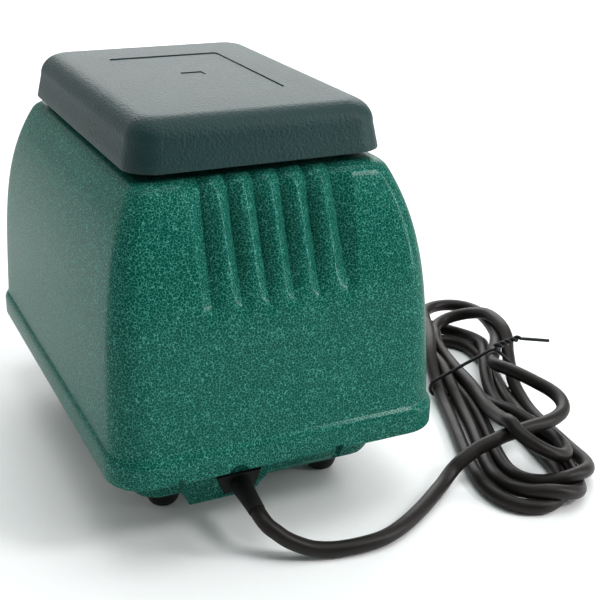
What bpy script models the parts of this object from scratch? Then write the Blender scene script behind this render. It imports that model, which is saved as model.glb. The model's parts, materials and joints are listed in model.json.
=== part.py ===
"""Linear diaphragm air pump with its filter cover, motor unit, air tank and mains lead.

Everything is built around the middle of the casing's footprint, with X across the narrow
front, Y towards the back, Z up and the floor at z = 0. One empty then moves the whole
assembly so that the world origin lies under the middle of its bounding box.
"""

import math

import bmesh
import bpy
from mathutils import Matrix, Vector

# ---------------------------------------------------------------- driving dimensions (metres)
GAP = 0.0003                # clearance kept between touching pieces

CASE_HALF_X = 0.0900        # skirt of the upper housing
CASE_HALF_Y = 0.12875
SKIRT_BOTTOM = 0.0461
LEDGE = 0.0603
CASE_TOP = 0.1874
WALL = 0.0035
OUTLET_END_Y = 0.13925      # the outlet nozzle reaches this far behind the middle of the casing
CASE_CENTRE_Y = (CASE_HALF_Y - OUTLET_END_Y) / 2

TANK_HALF_X = 0.0697
TANK_HALF_Y = 0.0943
TANK_BOTTOM = 0.0178
TANK_WALL = 0.0040
FLANGE_TOP = 0.0524
FLANGE_THICKNESS = 0.0040
FLANGE_HALF_X = 0.0863
FLANGE_HALF_Y = 0.12505
DECK_BOTTOM = 0.0547
DECK_TOP = 0.0577
DECK_HALF_X = 0.0750
DECK_HALF_Y = 0.0980

COVER_BOTTOM = 0.1914
COVER_TOP = 0.2160
COVER_HALF_X = 0.06755
COVER_HALF_Y = 0.0952
COVER_EDGE_RADIUS = 0.0120
COVER_DRAFT = 0.0026
COVER_WALL = 0.0025
PEG_X = 0.0500
PEG_Y = 0.0790

FOOT_X = 0.0475
FOOT_Y = 0.0685
FOOT_RADIUS = 0.0100
FOOT_FLAT = 0.0055          # radius of the flat underside
FOOT_NECK = 0.0076          # neck that plugs into the tank's socket
SOCKET_DEPTH = 0.0025

SCREW_X = 0.0770
SCREW_Y = 0.1160
SCREW_RADIUS = 0.0025
THREAD_HOLE = SCREW_RADIUS + GAP

OUTLET_Z = 0.0330
OUTLET_BORE = 0.0065
OUTLET_RADIUS = 0.0090

GLAND_X = -0.0180           # middle of the cord gland in the front boss
GLAND_Z = 0.0250
GLAND_NECK = 0.0052
BOSS_FRONT_Y = -0.1050

ROD_Z = 0.1120              # axis of the armature
HEAD_RADIUS = 0.0420
VALVE_RISE = 0.0200         # intake valve above the rod's axis, exhaust valve below it
AIR_TUBE_X = 0.0320
AIR_TUBE_Y = 0.0820
BUSH_X = 0.0400
BUSH_Y = 0.0450

CORD_RADIUS = 0.0041
RELIEF_LENGTH = 0.0220
RELIEF_DROP = math.radians(9)
HANK_FRONT = (0.1500, -0.1280)
HANK_REAR = (0.1880, 0.0250)
HANK_RADIUS = 0.0420
HANK_HEIGHT = 0.0440
PLUG_TURN = math.radians(14)
PLUG_REACH = HANK_RADIUS + 0.0314    # from the middle of the hank's rear bend to the plug
PLUG_PLACE = (HANK_REAR[0] - math.sin(PLUG_TURN) * PLUG_REACH,
              HANK_REAR[1] + math.cos(PLUG_TURN) * PLUG_REACH, 0.0)
BLADE_X = 0.00635           # half the distance between the plug's two blades

# The lead drops from the sleeve to the floor, sweeps round to the right and climbs the hank.
LEAD_ROUTE = [(-0.0180, -0.1303, 0.0214), (-0.0180, -0.1345, 0.0208), (-0.0166, -0.1392, 0.0186),
              (-0.0130, -0.1422, 0.0155), (-0.0090, -0.1450, 0.0122), (-0.0037, -0.1472, 0.0092),
              (0.0021, -0.1492, 0.0066), (0.0077, -0.1508, 0.0052), (0.0143, -0.1525, 0.0045),
              (0.0215, -0.1538, 0.0044), (0.0303, -0.1544, 0.0044), (0.0397, -0.1540, 0.0044),
              (0.0496, -0.1512, 0.0044), (0.0608, -0.1459, 0.0044), (0.0696, -0.1407, 0.0044),
              (0.0786, -0.1350, 0.0046), (0.0888, -0.1280, 0.0050), (0.0975, -0.1222, 0.0058),
              (0.1066, -0.1186, 0.0070)]

# ------------------------------------------------------------------------------- materials
PAINT = ("green_paint", (0.014, 0.137, 0.096), 0.38, 0.35)
PLASTIC = ("cover_plastic", (0.024, 0.062, 0.062), 0.55, 0.0)
RUBBER = ("black_rubber", (0.010, 0.010, 0.011), 0.60, 0.0)
CORD_PVC = ("cord_sheath", (0.008, 0.008, 0.009), 0.45, 0.0)
FOAM = ("filter_foam", (0.030, 0.030, 0.032), 0.95, 0.0)
ALUMINIUM = ("cast_aluminium", (0.560, 0.570, 0.580), 0.45, 1.0)
STEEL = ("zinc_steel", (0.620, 0.610, 0.580), 0.35, 1.0)
LAMINATION = ("lamination_steel", (0.220, 0.220, 0.230), 0.50, 1.0)
COPPER = ("taped_winding", (0.450, 0.190, 0.070), 0.45, 0.3)
MAGNET = ("ferrite", (0.060, 0.060, 0.065), 0.50, 0.2)
NYLON = ("nylon", (0.620, 0.610, 0.560), 0.50, 0.0)
RESIN = ("moulded_resin", (0.050, 0.050, 0.055), 0.50, 0.0)


def clear_scene():
    for old in list(bpy.data.objects):
        bpy.data.objects.remove(old, do_unlink=True)


def material(finish):
    """Make a finish's material once, then share it between the pieces that have it."""
    name, colour, roughness, metallic = finish
    found = bpy.data.materials.get(name)
    if found:
        return found
    made = bpy.data.materials.new(name)
    made.use_nodes = True
    shader = made.node_tree.nodes["Principled BSDF"]
    shader.inputs["Base Color"].default_value = (*colour, 1.0)
    shader.inputs["Roughness"].default_value = roughness
    shader.inputs["Metallic"].default_value = metallic
    return made


def place(name, bm, finish, smooth_degrees=None):
    """Close a bmesh into a named object under the casing's empty."""
    bmesh.ops.recalc_face_normals(bm, faces=bm.faces[:])
    mesh = bpy.data.meshes.new(name)
    bm.to_mesh(mesh)
    bm.free()
    if finish:
        mesh.materials.append(material(finish))
    if smooth_degrees:
        mesh.shade_smooth()
        mesh.set_sharp_from_angle(angle=math.radians(smooth_degrees))
    made = bpy.data.objects.new(name, mesh)
    bpy.context.collection.objects.link(made)
    made.parent = case_centre
    if finish is None:
        made.hide_render = True
        made.display_type = "WIRE"
    return made


def rounded_rectangle(half_x, half_y, radius, steps, centre=(0.0, 0.0)):
    """Corner arcs joined by straight sides, counter-clockwise from the +X side."""
    points = []
    for corner, (sign_x, sign_y) in enumerate(((1, 1), (-1, 1), (-1, -1), (1, -1))):
        for step in range(steps + 1):
            angle = math.pi / 2 * (corner + step / steps)
            points.append((centre[0] + sign_x * (half_x - radius) + radius * math.cos(angle),
                           centre[1] + sign_y * (half_y - radius) + radius * math.sin(angle)))
    return points


def ring(bm, outline, z):
    """One closed horizontal loop of vertices and edges."""
    corners = [bm.verts.new((x, y, z)) for x, y in outline]
    edges = [bm.edges.new((corners[i - 1], corners[i])) for i in range(len(corners))]
    return corners, edges


def stack(sections):
    """A closed body through horizontal outlines, given as (z, outline) from bottom to top."""
    bm = bmesh.new()
    below = None
    for z, outline in sections:
        corners, edges = ring(bm, outline, z)
        if below is None:
            bm.faces.new(corners)
        else:
            bmesh.ops.bridge_loops(bm, edges=below + edges)
        below = edges
    bm.faces.new(corners)
    return bm


def slab(half_x, half_y, z_low, z_high, radius, centre=(0.0, 0.0), steps=4):
    outline = rounded_rectangle(half_x, half_y, radius, steps, centre)
    return stack([(z_low, outline), (z_high, outline)])


def box(low, high):
    bm = bmesh.new()
    bmesh.ops.create_cube(bm, size=1.0)
    size = Vector(high) - Vector(low)
    bmesh.ops.scale(bm, vec=size, verts=bm.verts)
    bmesh.ops.translate(bm, vec=(Vector(high) + Vector(low)) / 2, verts=bm.verts)
    return bm


def turned(profile, steps=24, closed=False):
    """Spin (radius, height) points about Z; a closed profile makes a bored piece."""
    bm = bmesh.new()
    points = [bm.verts.new((radius, 0.0, height)) for radius, height in profile]
    edges = [bm.edges.new((points[i], points[i + 1])) for i in range(len(points) - 1)]
    if closed:
        edges.append(bm.edges.new((points[-1], points[0])))
    bmesh.ops.spin(bm, geom=points + edges, cent=(0, 0, 0), axis=(0, 0, 1),
                   angle=math.tau, steps=steps, use_merge=True)
    bmesh.ops.remove_doubles(bm, verts=bm.verts, dist=1e-6)
    return bm


def aim(bm, centre, along="Z"):
    """Turn a piece made about Z so that it points along another axis, then move it."""
    turns = {"Z": Matrix(), "Y": Matrix.Rotation(-math.pi / 2, 3, "X"),
             "-Y": Matrix.Rotation(math.pi / 2, 3, "X"), "X": Matrix.Rotation(math.pi / 2, 3, "Y")}
    if along != "Z":
        bmesh.ops.rotate(bm, cent=(0, 0, 0), matrix=turns[along], verts=bm.verts)
    bmesh.ops.translate(bm, vec=centre, verts=bm.verts)
    return bm


def corners(x, y):
    """Name and place of each of the four corners at plus and minus x and y."""
    names = ("front_left", "front_right", "rear_left", "rear_right")
    return zip(names, ((-x, -y), (x, -y), (-x, y), (x, y)))


def rod(radius, length, steps=20):
    return turned([(0, 0), (radius, 0), (radius, length), (0, length)], steps)


def combine(target, tool, operation):
    """Add a Boolean modifier with the exact solver."""
    step = target.modifiers.new(operation.lower(), "BOOLEAN")
    step.operation = operation
    step.solver = "EXACT"
    step.object = tool


def cut(target, *tools):
    for tool in tools:
        combine(target, tool, "DIFFERENCE")


def join(target, *tools):
    for tool in tools:
        combine(target, tool, "UNION")


# ---------------------------------------------------------------------------- upper housing
def case_inset(z):
    """How far the side and end faces of the housing lean in from the skirt at a height."""
    rise = (z - LEDGE) / (CASE_TOP - LEDGE)
    side = 0.0018 + 0.0045 * rise + 0.0175 * rise ** 4
    end = 0.0025 + 0.0140 * rise + 0.0155 * rise ** 4
    return side, end


def case_section(z, offset_x=0.0, offset_y=0.0, steps=6):
    side, end = case_inset(z)
    rise = (z - LEDGE) / (CASE_TOP - LEDGE)
    radius = 0.0190 - 0.0090 * rise - min(offset_x, 0.006)
    return rounded_rectangle(CASE_HALF_X - side - offset_x, CASE_HALF_Y - end - offset_y,
                             radius, steps)


def groove(name, z_low, z_high, middle, half_width, inner_run, outer_run, facing):
    """One tapered flute: its valley starts on the face and runs back as it rises."""
    depth_low = CASE_HALF_Y - case_inset(z_low)[1]
    depth_high = CASE_HALF_Y - case_inset(z_high)[1] - 0.0068
    outside = 0.1450
    sections = []
    for z, valley in ((z_low, depth_low), (z_high, depth_high)):
        reach = outside - valley
        across = [(middle - half_width - inner_run * reach, outside),
                  (middle + half_width + outer_run * reach, outside),
                  (middle + half_width, valley), (middle - half_width, valley)]
        sections.append((z, [(x, facing * y) for x, y in across]))
    return place(name, stack(sections), None)


def upper_housing():
    skirt = rounded_rectangle(CASE_HALF_X, CASE_HALF_Y, 0.0200, 6)
    heights = [0.0603, 0.0800, 0.1050, 0.1300, 0.1480, 0.1620, 0.1730, 0.1810]
    sections = [(SKIRT_BOTTOM, skirt), (LEDGE - 0.0006, skirt)]
    sections += [(z, case_section(z)) for z in heights]
    sections += [(CASE_TOP - 0.0012, case_section(CASE_TOP - 0.0012)),
                 (CASE_TOP, case_section(CASE_TOP, 0.0015, 0.0015))]
    shell = place("upper_housing", stack(sections), PAINT, 40)

    ledge_inside = 0.0550
    rim_cavity = slab(CASE_HALF_X - WALL + 0.0003, CASE_HALF_Y - WALL + 0.0003,
                      SKIRT_BOTTOM - 0.005, ledge_inside, 0.0170, steps=6)
    cavity = [(ledge_inside - 0.001, 0.0828, 0.1216, 0.0340),
              (0.0850, 0.0822, 0.1150, 0.0340), (0.1000, 0.0815, 0.1120, 0.0260),
              (0.1220, 0.0800, 0.1060, 0.0180), (0.1500, 0.0760, 0.0985, 0.0140),
              (0.1700, 0.0690, 0.0910, 0.0120), (CASE_TOP - WALL, 0.0610, 0.0840, 0.0100)]
    cavity_sections = [(z, rounded_rectangle(half_x, half_y, radius, 6))
                       for z, half_x, half_y, radius in cavity]
    cut(shell, place("cut_rim_cavity", rim_cavity, None),
        place("cut_cavity", stack(cavity_sections), None))

    for facing, side in ((-1, "front"), (1, "rear")):
        for number in range(4):
            middle = (number - 1.5) * 0.01365
            cut(shell, groove(f"cut_groove_{side}_{number}", 0.1260, 0.1900, middle,
                              0.0012, 0.54, 0.54, facing))
        cut(shell, groove(f"cut_groove_{side}_left", 0.1240, 0.1900, -0.0338, 0.0012,
                          1.45, 0.60, facing))
        cut(shell, groove(f"cut_groove_{side}_right", 0.1240, 0.1900, 0.0338, 0.0012,
                          0.60, 1.45, facing))

    for row in range(3):
        y = (row - 1) * 0.0400
        window = slab(0.0380, 0.0155, CASE_TOP - 0.010, CASE_TOP + 0.005, 0.0040, (0, y))
        cut(shell, place(f"cut_window_{row}", window, None))
    for name, (x, y) in corners(PEG_X, PEG_Y):
        hole = aim(rod(0.0043, 0.020), (x, y, CASE_TOP - 0.010))
        cut(shell, place(f"cut_peg_hole_{name}", hole, None))
    for name, (x, y) in corners(SCREW_X, SCREW_Y):
        hole = aim(rod(THREAD_HOLE, 0.030), (x, y, 0.0450))
        cut(shell, place(f"cut_thread_hole_{name}", hole, None))
    arch = aim(rod(0.0062, 0.012), (GLAND_X - 0.0093, -CASE_HALF_Y - 0.003, 0.0440), "Y")
    cut(shell, place("cut_cord_arch", arch, None))
    return shell


# ------------------------------------------------------------------- lower housing and deck
def boss_outline(grow=0.0):
    return [(-0.0485 - grow, 0.0484), (-0.0452 - grow, TANK_BOTTOM),
            (-0.0100 + grow, TANK_BOTTOM), (0.0010 + grow, 0.0290), (0.0040 + grow, 0.0484)]


def prism_along_y(outline, y_low, y_high):
    """Extrude an (x, z) outline from one y to another."""
    bm = bmesh.new()
    corners = [bm.verts.new((x, y_low, z)) for x, z in outline]
    face = bm.faces.new(corners)
    pushed = bmesh.ops.extrude_face_region(bm, geom=[face])["geom"]
    moved = [item for item in pushed if isinstance(item, bmesh.types.BMVert)]
    bmesh.ops.translate(bm, vec=(0, y_high - y_low, 0), verts=moved)
    return bm


def gland_outline(shrink=0.0):
    """Trapezoid seat of the rubber gland, wider at the top."""
    return [(GLAND_X - 0.0128 + shrink, 0.0310 - shrink), (GLAND_X - 0.0084 + shrink, 0.0195 + shrink),
            (GLAND_X + 0.0084 - shrink, 0.0195 + shrink), (GLAND_X + 0.0128 - shrink, 0.0310 - shrink)]


def lower_housing():
    tank = [(TANK_BOTTOM, rounded_rectangle(TANK_HALF_X - 0.0020, TANK_HALF_Y - 0.0020, 0.0130, 5)),
            (TANK_BOTTOM + 0.0030, rounded_rectangle(TANK_HALF_X, TANK_HALF_Y, 0.0150, 5)),
            (FLANGE_TOP, rounded_rectangle(TANK_HALF_X, TANK_HALF_Y, 0.0150, 5))]
    body = place("lower_housing", stack(tank), PAINT, 40)
    flange = slab(FLANGE_HALF_X, FLANGE_HALF_Y, FLANGE_TOP - FLANGE_THICKNESS, FLANGE_TOP, 0.0165)
    boss = prism_along_y(boss_outline(), BOSS_FRONT_Y, -0.0900)
    join(body, place("join_flange", flange, None), place("join_boss", boss, None))

    inside_x = TANK_HALF_X - TANK_WALL
    inside_y = TANK_HALF_Y - TANK_WALL
    floor = TANK_BOTTOM + TANK_WALL
    over = FLANGE_TOP + 0.010
    rooms = {"cut_tank": ((-inside_x, -0.0660, floor), (inside_x, inside_y, over)),
             "cut_tank_left": ((-inside_x, -inside_y, floor), (-0.0440, -0.0600, over)),
             "cut_tank_right": ((0.0140, -inside_y, floor), (inside_x, -0.0600, over)),
             "cut_wiring_bay": ((-0.0400, -inside_y, floor), (0.0100, -0.0700, over))}
    for name, (low, high) in rooms.items():
        cut(body, place(name, box(low, high), None))

    seat = prism_along_y(gland_outline(), BOSS_FRONT_Y - 0.002, BOSS_FRONT_Y + 0.0075)
    throat = aim(rod(GLAND_NECK + GAP, 0.030), (GLAND_X, BOSS_FRONT_Y, GLAND_Z), "Y")
    cut(body, place("cut_gland_seat", seat, None), place("cut_gland_throat", throat, None))
    outlet = aim(rod(0.0078, 0.020), (0, TANK_HALF_Y - 0.012, OUTLET_Z), "Y")
    cut(body, place("cut_outlet_hole", outlet, None))
    for name, (x, y) in corners(FOOT_X, FOOT_Y):
        socket = aim(rod(FOOT_NECK + 0.0004, 2 * SOCKET_DEPTH), (x, y, TANK_BOTTOM - SOCKET_DEPTH))
        cut(body, place(f"cut_foot_socket_{name}", socket, None))
    for name, (x, y) in corners(SCREW_X, SCREW_Y):
        hole = aim(rod(THREAD_HOLE, 0.020), (x, y, FLANGE_TOP - 0.015))
        cut(body, place(f"cut_screw_hole_{name}", hole, None))
    slot = prism_along_y([(0.0410, 0.0170), (0.0450, 0.0170), (0.0500, 0.0300), (0.0460, 0.0300)],
                         -TANK_HALF_Y - 0.003, -TANK_HALF_Y + 0.0015)
    cut(body, place("cut_drain_slot", slot, None))


def housing_gasket():
    outer = slab(FLANGE_HALF_X - 0.0003, FLANGE_HALF_Y - 0.0003, FLANGE_TOP + GAP,
                 DECK_BOTTOM, 0.0165)
    seal = place("housing_gasket", outer, RUBBER)
    inner = slab(0.0828, 0.1216, FLANGE_TOP - 0.005, DECK_BOTTOM + 0.005, 0.0340, steps=6)
    cut(seal, place("cut_gasket_middle", inner, None))
    for name, (x, y) in corners(SCREW_X, SCREW_Y):
        hole = aim(rod(THREAD_HOLE, 0.020), (x, y, FLANGE_TOP - 0.010), "Z")
        cut(seal, place(f"cut_gasket_hole_{name}", hole, None))


def housing_screws():
    for name, (x, y) in corners(SCREW_X, SCREW_Y):
        head = FLANGE_TOP - FLANGE_THICKNESS - GAP
        profile = [(0, head - 0.0030), (0.0036, head - 0.0030), (0.0046, head - 0.0018),
                   (0.0046, head), (SCREW_RADIUS, head), (SCREW_RADIUS, 0.0740), (0, 0.0745)]
        place(f"housing_screw_{name}", aim(turned(profile, 12), (x, y, 0)), STEEL, 40)


def deck_plate():
    plate = place("deck_plate", slab(DECK_HALF_X, DECK_HALF_Y, DECK_BOTTOM, DECK_TOP, 0.0120),
                  ALUMINIUM)
    notch = box((-0.0410, -0.1100, 0.0400), (0.0110, -0.0680, 0.0700))
    cut(plate, place("cut_deck_notch", notch, None))
    for number, side in enumerate((-1, 1)):
        hole = aim(rod(0.0042, 0.020), (AIR_TUBE_X, side * AIR_TUBE_Y, DECK_BOTTOM - 0.008))
        cut(plate, place(f"cut_deck_port_{number}", hole, None))


def tank_gasket():
    low = FLANGE_TOP + GAP
    high = DECK_BOTTOM - GAP
    seal = place("tank_gasket", slab(DECK_HALF_X, DECK_HALF_Y, low, high, 0.0120), RUBBER)
    for name, (corner_low, corner_high) in {
            "cut_seal_middle": ((-0.0657, -0.0660, 0.040), (0.0657, 0.0903, 0.070)),
            "cut_seal_left": ((-0.0657, -0.0903, 0.040), (-0.0440, -0.0600, 0.070)),
            "cut_seal_right": ((0.0140, -0.0903, 0.040), (0.0657, -0.0600, 0.070)),
            "cut_seal_bay": ((-0.0410, -0.1100, 0.040), (0.0110, -0.0680, 0.070))}.items():
        cut(seal, place(name, box(corner_low, corner_high), None))


def feet():
    for name, (x, y) in corners(FOOT_X, FOOT_Y):
        profile = [(0, 0), (FOOT_FLAT, 0)]
        dome = 4
        for step in range(1, dome + 1):
            angle = math.pi / 2 * step / dome
            profile.append((FOOT_FLAT + (FOOT_RADIUS - FOOT_FLAT) * math.sin(angle),
                            0.0065 * (1 - math.cos(angle))))
        top = TANK_BOTTOM + SOCKET_DEPTH - 0.0004
        profile += [(FOOT_RADIUS, TANK_BOTTOM - GAP), (FOOT_NECK, TANK_BOTTOM - GAP),
                    (FOOT_NECK, top), (0, top)]
        place(f"foot_{name}", aim(turned(profile, 18), (x, y, 0)), RUBBER, 40)


def outlet_nozzle():
    wall = TANK_HALF_Y
    length = OUTLET_END_Y
    profile = [(OUTLET_BORE, wall - 0.010), (0.0075, wall - 0.010), (0.0075, wall + GAP),
               (0.0120, wall + GAP), (0.0120, wall + 0.0035), (0.0080, wall + 0.0035),
               (0.0080, length - 0.0200), (OUTLET_RADIUS, length - 0.0200),
               (0.0080, length - 0.0110), (OUTLET_RADIUS, length - 0.0110),
               (0.0078, length - 0.0010), (0.0078, length), (OUTLET_BORE, length)]
    place("outlet_nozzle", aim(turned(profile, 20, closed=True), (0, 0, OUTLET_Z), "Y"),
          ALUMINIUM, 40)


# ---------------------------------------------------------------------- filter and its cover
def cover_section(z, offset=0.0):
    """Outline of the cover: drafted sides, then a quarter-round top edge."""
    straight_top = COVER_TOP - COVER_EDGE_RADIUS
    if z <= straight_top:
        inset = COVER_DRAFT * (z - COVER_BOTTOM) / (straight_top - COVER_BOTTOM)
    else:
        climb = min((z - straight_top) / COVER_EDGE_RADIUS, 1.0)
        inset = COVER_DRAFT + COVER_EDGE_RADIUS * (1 - math.sqrt(1 - climb * climb))
    inset += offset
    radius = max(0.0160 - 0.6 * inset, 0.0050)
    return rounded_rectangle(COVER_HALF_X - inset, COVER_HALF_Y - inset, radius, 6)


def filter_cover():
    top_arc = [COVER_TOP - COVER_EDGE_RADIUS * (1 - math.sin(math.radians(angle)))
               for angle in (0, 20, 38, 54, 68, 80, 90)]
    heights = [COVER_BOTTOM] + top_arc
    cover = place("filter_cover", stack([(z, cover_section(z)) for z in heights]), PLASTIC, 35)
    hollow_heights = [COVER_BOTTOM - 0.003] + [z - COVER_WALL for z in top_arc]
    hollow = [(z, cover_section(min(z + COVER_WALL, COVER_TOP), COVER_WALL)) for z in hollow_heights]
    cut(cover, place("cut_cover_hollow", stack(hollow), None))
    panel = slab(0.0326, 0.0494, COVER_TOP - 0.0010, COVER_TOP + 0.004, 0.0030, (0, 0.0033))
    badge = slab(0.0062, 0.0040, COVER_TOP - 0.0016, COVER_TOP + 0.004, 0.0006, (0, 0.0033))
    cut(cover, place("cut_cover_panel", panel, None), place("cut_cover_badge", badge, None))
    for name, (x, y) in corners(PEG_X, PEG_Y):
        profile = [(0, 0.1820), (0.0024, 0.1830), (0.0024, 0.1898), (0.0042, 0.1898),
                   (0.0042, 0.2120), (0, 0.2120)]
        join(cover, place(f"join_peg_{name}", aim(turned(profile, 12), (x, y, 0)), None))


def cover_grommets():
    for name, (x, y) in corners(PEG_X, PEG_Y):
        low = CASE_TOP - WALL - GAP
        profile = [(0.0027, low), (0.0040, low), (0.0040, CASE_TOP + GAP),
                   (0.0058, CASE_TOP + GAP), (0.0058, 0.1894), (0.0027, 0.1894)]
        place(f"cover_grommet_{name}", aim(turned(profile, 12, closed=True), (x, y, 0)), RUBBER, 40)


def filter_element():
    place("filter_element", slab(0.0420, 0.0640, CASE_TOP + 0.0004, 0.2060, 0.0060), FOAM)


# -------------------------------------------------------------------------------- motor unit
def mount_bushes():
    for name, (x, y) in corners(BUSH_X, BUSH_Y):
        waist = [(0, DECK_TOP + GAP), (0.0080, DECK_TOP + GAP), (0.0080, DECK_TOP + 0.0030),
                 (0.0060, DECK_TOP + 0.0052), (0.0080, DECK_TOP + 0.0074),
                 (0.0080, DECK_TOP + 0.0103), (0, DECK_TOP + 0.0103)]
        place(f"mount_bush_{name}", aim(turned(waist, 12), (x, y, 0)), RUBBER, 40)


def motor_frame():
    base = 0.0683
    frame = place("motor_frame", box((-0.0500, -0.0570, base), (0.0500, 0.0570, base + 0.0040)),
                  ALUMINIUM)
    for number, side in enumerate((-1, 1)):
        wall = box((-0.0460, -0.0025, base), (0.0460, 0.0025, 0.1530))
        bmesh.ops.translate(wall, vec=(0, side * 0.0545, 0), verts=wall.verts)
        rail = box((-0.0060, -0.0360, base), (0.0060, 0.0360, 0.0977))
        bmesh.ops.translate(rail, vec=(side * 0.0390, 0, 0), verts=rail.verts)
        join(frame, place(f"join_end_wall_{number}", wall, None),
             place(f"join_rail_{number}", rail, None))
    tunnel = aim(rod(0.0220, 0.140, 24), (0, -0.070, ROD_Z), "Y")
    cut(frame, place("cut_rod_tunnel", tunnel, None))


def electromagnets():
    for side, name in ((-1, "left"), (1, "right")):
        outline = [(0.0085, 0.0380), (0.0440, 0.0380), (0.0440, -0.0380), (0.0085, -0.0380),
                   (0.0085, -0.0260), (0.0320, -0.0260), (0.0320, -0.0070), (0.0085, -0.0070),
                   (0.0085, 0.0070), (0.0320, 0.0070), (0.0320, 0.0260), (0.0085, 0.0260)]
        e_shape = [(side * x, y) for x, y in outline]
        place(f"magnet_core_{name}", stack([(0.0980, e_shape), (0.1260, e_shape)]), LAMINATION)
        low, high = sorted((side * 0.0130, side * 0.0312))
        coil = stack([(low, rounded_rectangle(0.0250, 0.0240, 0.0080, 4)),
                      (high, rounded_rectangle(0.0250, 0.0240, 0.0080, 4))])
        coil = place(f"coil_{name}", aim(coil, (0, 0, ROD_Z), "X"), COPPER, 50)
        core_hole = box((-0.0450, -0.0075, 0.0975), (0.0450, 0.0075, 0.1265))
        cut(coil, place(f"cut_coil_hole_{name}", core_hole, None))


def armature():
    """Magnet carrier that shuttles along Y between the two diaphragms."""
    joint = bpy.data.objects.new("armature_axis", None)
    bpy.context.collection.objects.link(joint)
    joint.parent = case_centre
    joint.location = (0, 0, ROD_Z)
    carrier = place("armature_rod", box((-0.0030, -0.0350, -0.0160), (0.0030, 0.0350, 0.0160)),
                    STEEL, 40)
    carrier.parent = joint
    shaft_end = 0.0735
    profile = [(0, -shaft_end), (0.0030, -shaft_end), (0.0030, -0.0612), (0.0160, -0.0612),
               (0.0160, -0.0597), (0.0030, -0.0597), (0.0030, 0.0597), (0.0160, 0.0597),
               (0.0160, 0.0612), (0.0030, 0.0612), (0.0030, shaft_end), (0, shaft_end)]
    shaft = place("join_shaft", aim(turned(profile, 16), (0, 0, 0), "Y"), None)
    shaft.parent = joint
    join(carrier, shaft)
    for side, name in ((-1, "front"), (1, "rear")):
        window = box((-0.0100, -0.0120, -0.0130), (0.0100, 0.0120, 0.0130))
        bmesh.ops.translate(window, vec=(0, side * 0.0180, 0), verts=window.verts)
        window = place(f"cut_magnet_window_{name}", window, None)
        window.parent = joint
        cut(carrier, window)
        block = box((-0.0045, -0.0117, -0.0127), (0.0045, 0.0117, 0.0127))
        bmesh.ops.bevel(block, geom=block.edges[:], offset=0.0005, segments=1, profile=0.5,
                        affect="EDGES")
        bmesh.ops.translate(block, vec=(0, side * 0.0180, 0), verts=block.verts)
        place(f"magnet_{name}", block, MAGNET).parent = joint
        plate = [(0.0033, 0.0668), (0.0160, 0.0668), (0.0160, 0.0681), (0.0033, 0.0681)]
        direction = "Y" if side > 0 else "-Y"
        washer = aim(turned(plate, 16, closed=True), (0, 0, 0), direction)
        place(f"diaphragm_plate_{name}", washer, STEEL, 40).parent = joint
        nut = [(0.0038, 0.0684), (0.0060, 0.0684), (0.0060, 0.0720), (0.0038, 0.0720)]
        hexagon = aim(turned(nut, 6, closed=True), (0, 0, 0), direction)
        place(f"rod_nut_{name}", hexagon, STEEL).parent = joint


def pump_heads():
    for side, name in ((-1, "front"), (1, "rear")):
        direction = "Y" if side > 0 else "-Y"
        spacer = [(0.0340, 0.0573), (HEAD_RADIUS, 0.0573), (HEAD_RADIUS, 0.0627), (0.0340, 0.0627)]
        clamp = aim(turned(spacer, 20, closed=True), (0, 0, ROD_Z), direction)
        place(f"diaphragm_frame_{name}", clamp, ALUMINIUM, 40)
        rubber = [(0.0045, 0.0632), (0.0200, 0.0632), (0.0260, 0.0618), (0.0320, 0.0630),
                  (0.0415, 0.0630), (0.0415, 0.0650), (0.0315, 0.0650), (0.0260, 0.0638),
                  (0.0205, 0.0650), (0.0045, 0.0650)]
        disc = aim(turned(rubber, 20, closed=True), (0, 0, ROD_Z), direction)
        place(f"diaphragm_{name}", disc, RUBBER, 40)
        head = box((-0.0400, -0.0114, 0.0720), (0.0400, 0.0114, 0.1520))
        bmesh.ops.bevel(head, geom=head.edges[:], offset=0.0030, segments=1, profile=0.5,
                        affect="EDGES")
        bmesh.ops.translate(head, vec=(0, side * 0.0767, 0), verts=head.verts)
        head = place(f"valve_body_{name}", head, NYLON)
        bowl = aim(rod(0.0310, 0.0130, 20), (0, side * 0.0640, ROD_Z), direction)
        cut(head, place(f"cut_bowl_{name}", bowl, None))
        for level, port in ((VALVE_RISE, "intake"), (-VALVE_RISE, "exhaust")):
            low = ROD_Z + level - 0.0140
            room = box((-0.0340, -0.0040, low), (0.0340, 0.0040, low + 0.0280))
            bmesh.ops.translate(room, vec=(0, side * 0.0851, 0), verts=room.verts)
            hole = aim(rod(0.0050, 0.0200, 12), (0, side * 0.0700, ROD_Z + level), direction)
            cut(head, place(f"cut_{port}_room_{name}", room, None),
                place(f"cut_{port}_hole_{name}", hole, None))
        outlet = aim(rod(0.0040, 0.0300, 16), (AIR_TUBE_X - 0.0030, side * AIR_TUBE_Y, 0.0700))
        cut(head, place(f"cut_head_outlet_{name}", outlet, None))
        lid = slab(0.0395, 0.0020, 0.0725, 0.1515, 0.0015, (0, side * 0.0904), 2)
        lid = place(f"head_cover_{name}", lid, NYLON)
        inlet = aim(rod(0.0060, 0.0100, 16), (0, side * 0.0860, ROD_Z + VALVE_RISE), direction)
        cut(lid, place(f"cut_inlet_{name}", inlet, None))
        tube = [(0.0036, DECK_TOP + GAP), (0.0058, DECK_TOP + GAP), (0.0058, 0.0716),
                (0.0036, 0.0716)]
        place(f"air_tube_{name}", aim(turned(tube, 12, closed=True),
                                      (AIR_TUBE_X, side * AIR_TUBE_Y, 0)), RUBBER, 40)


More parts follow.
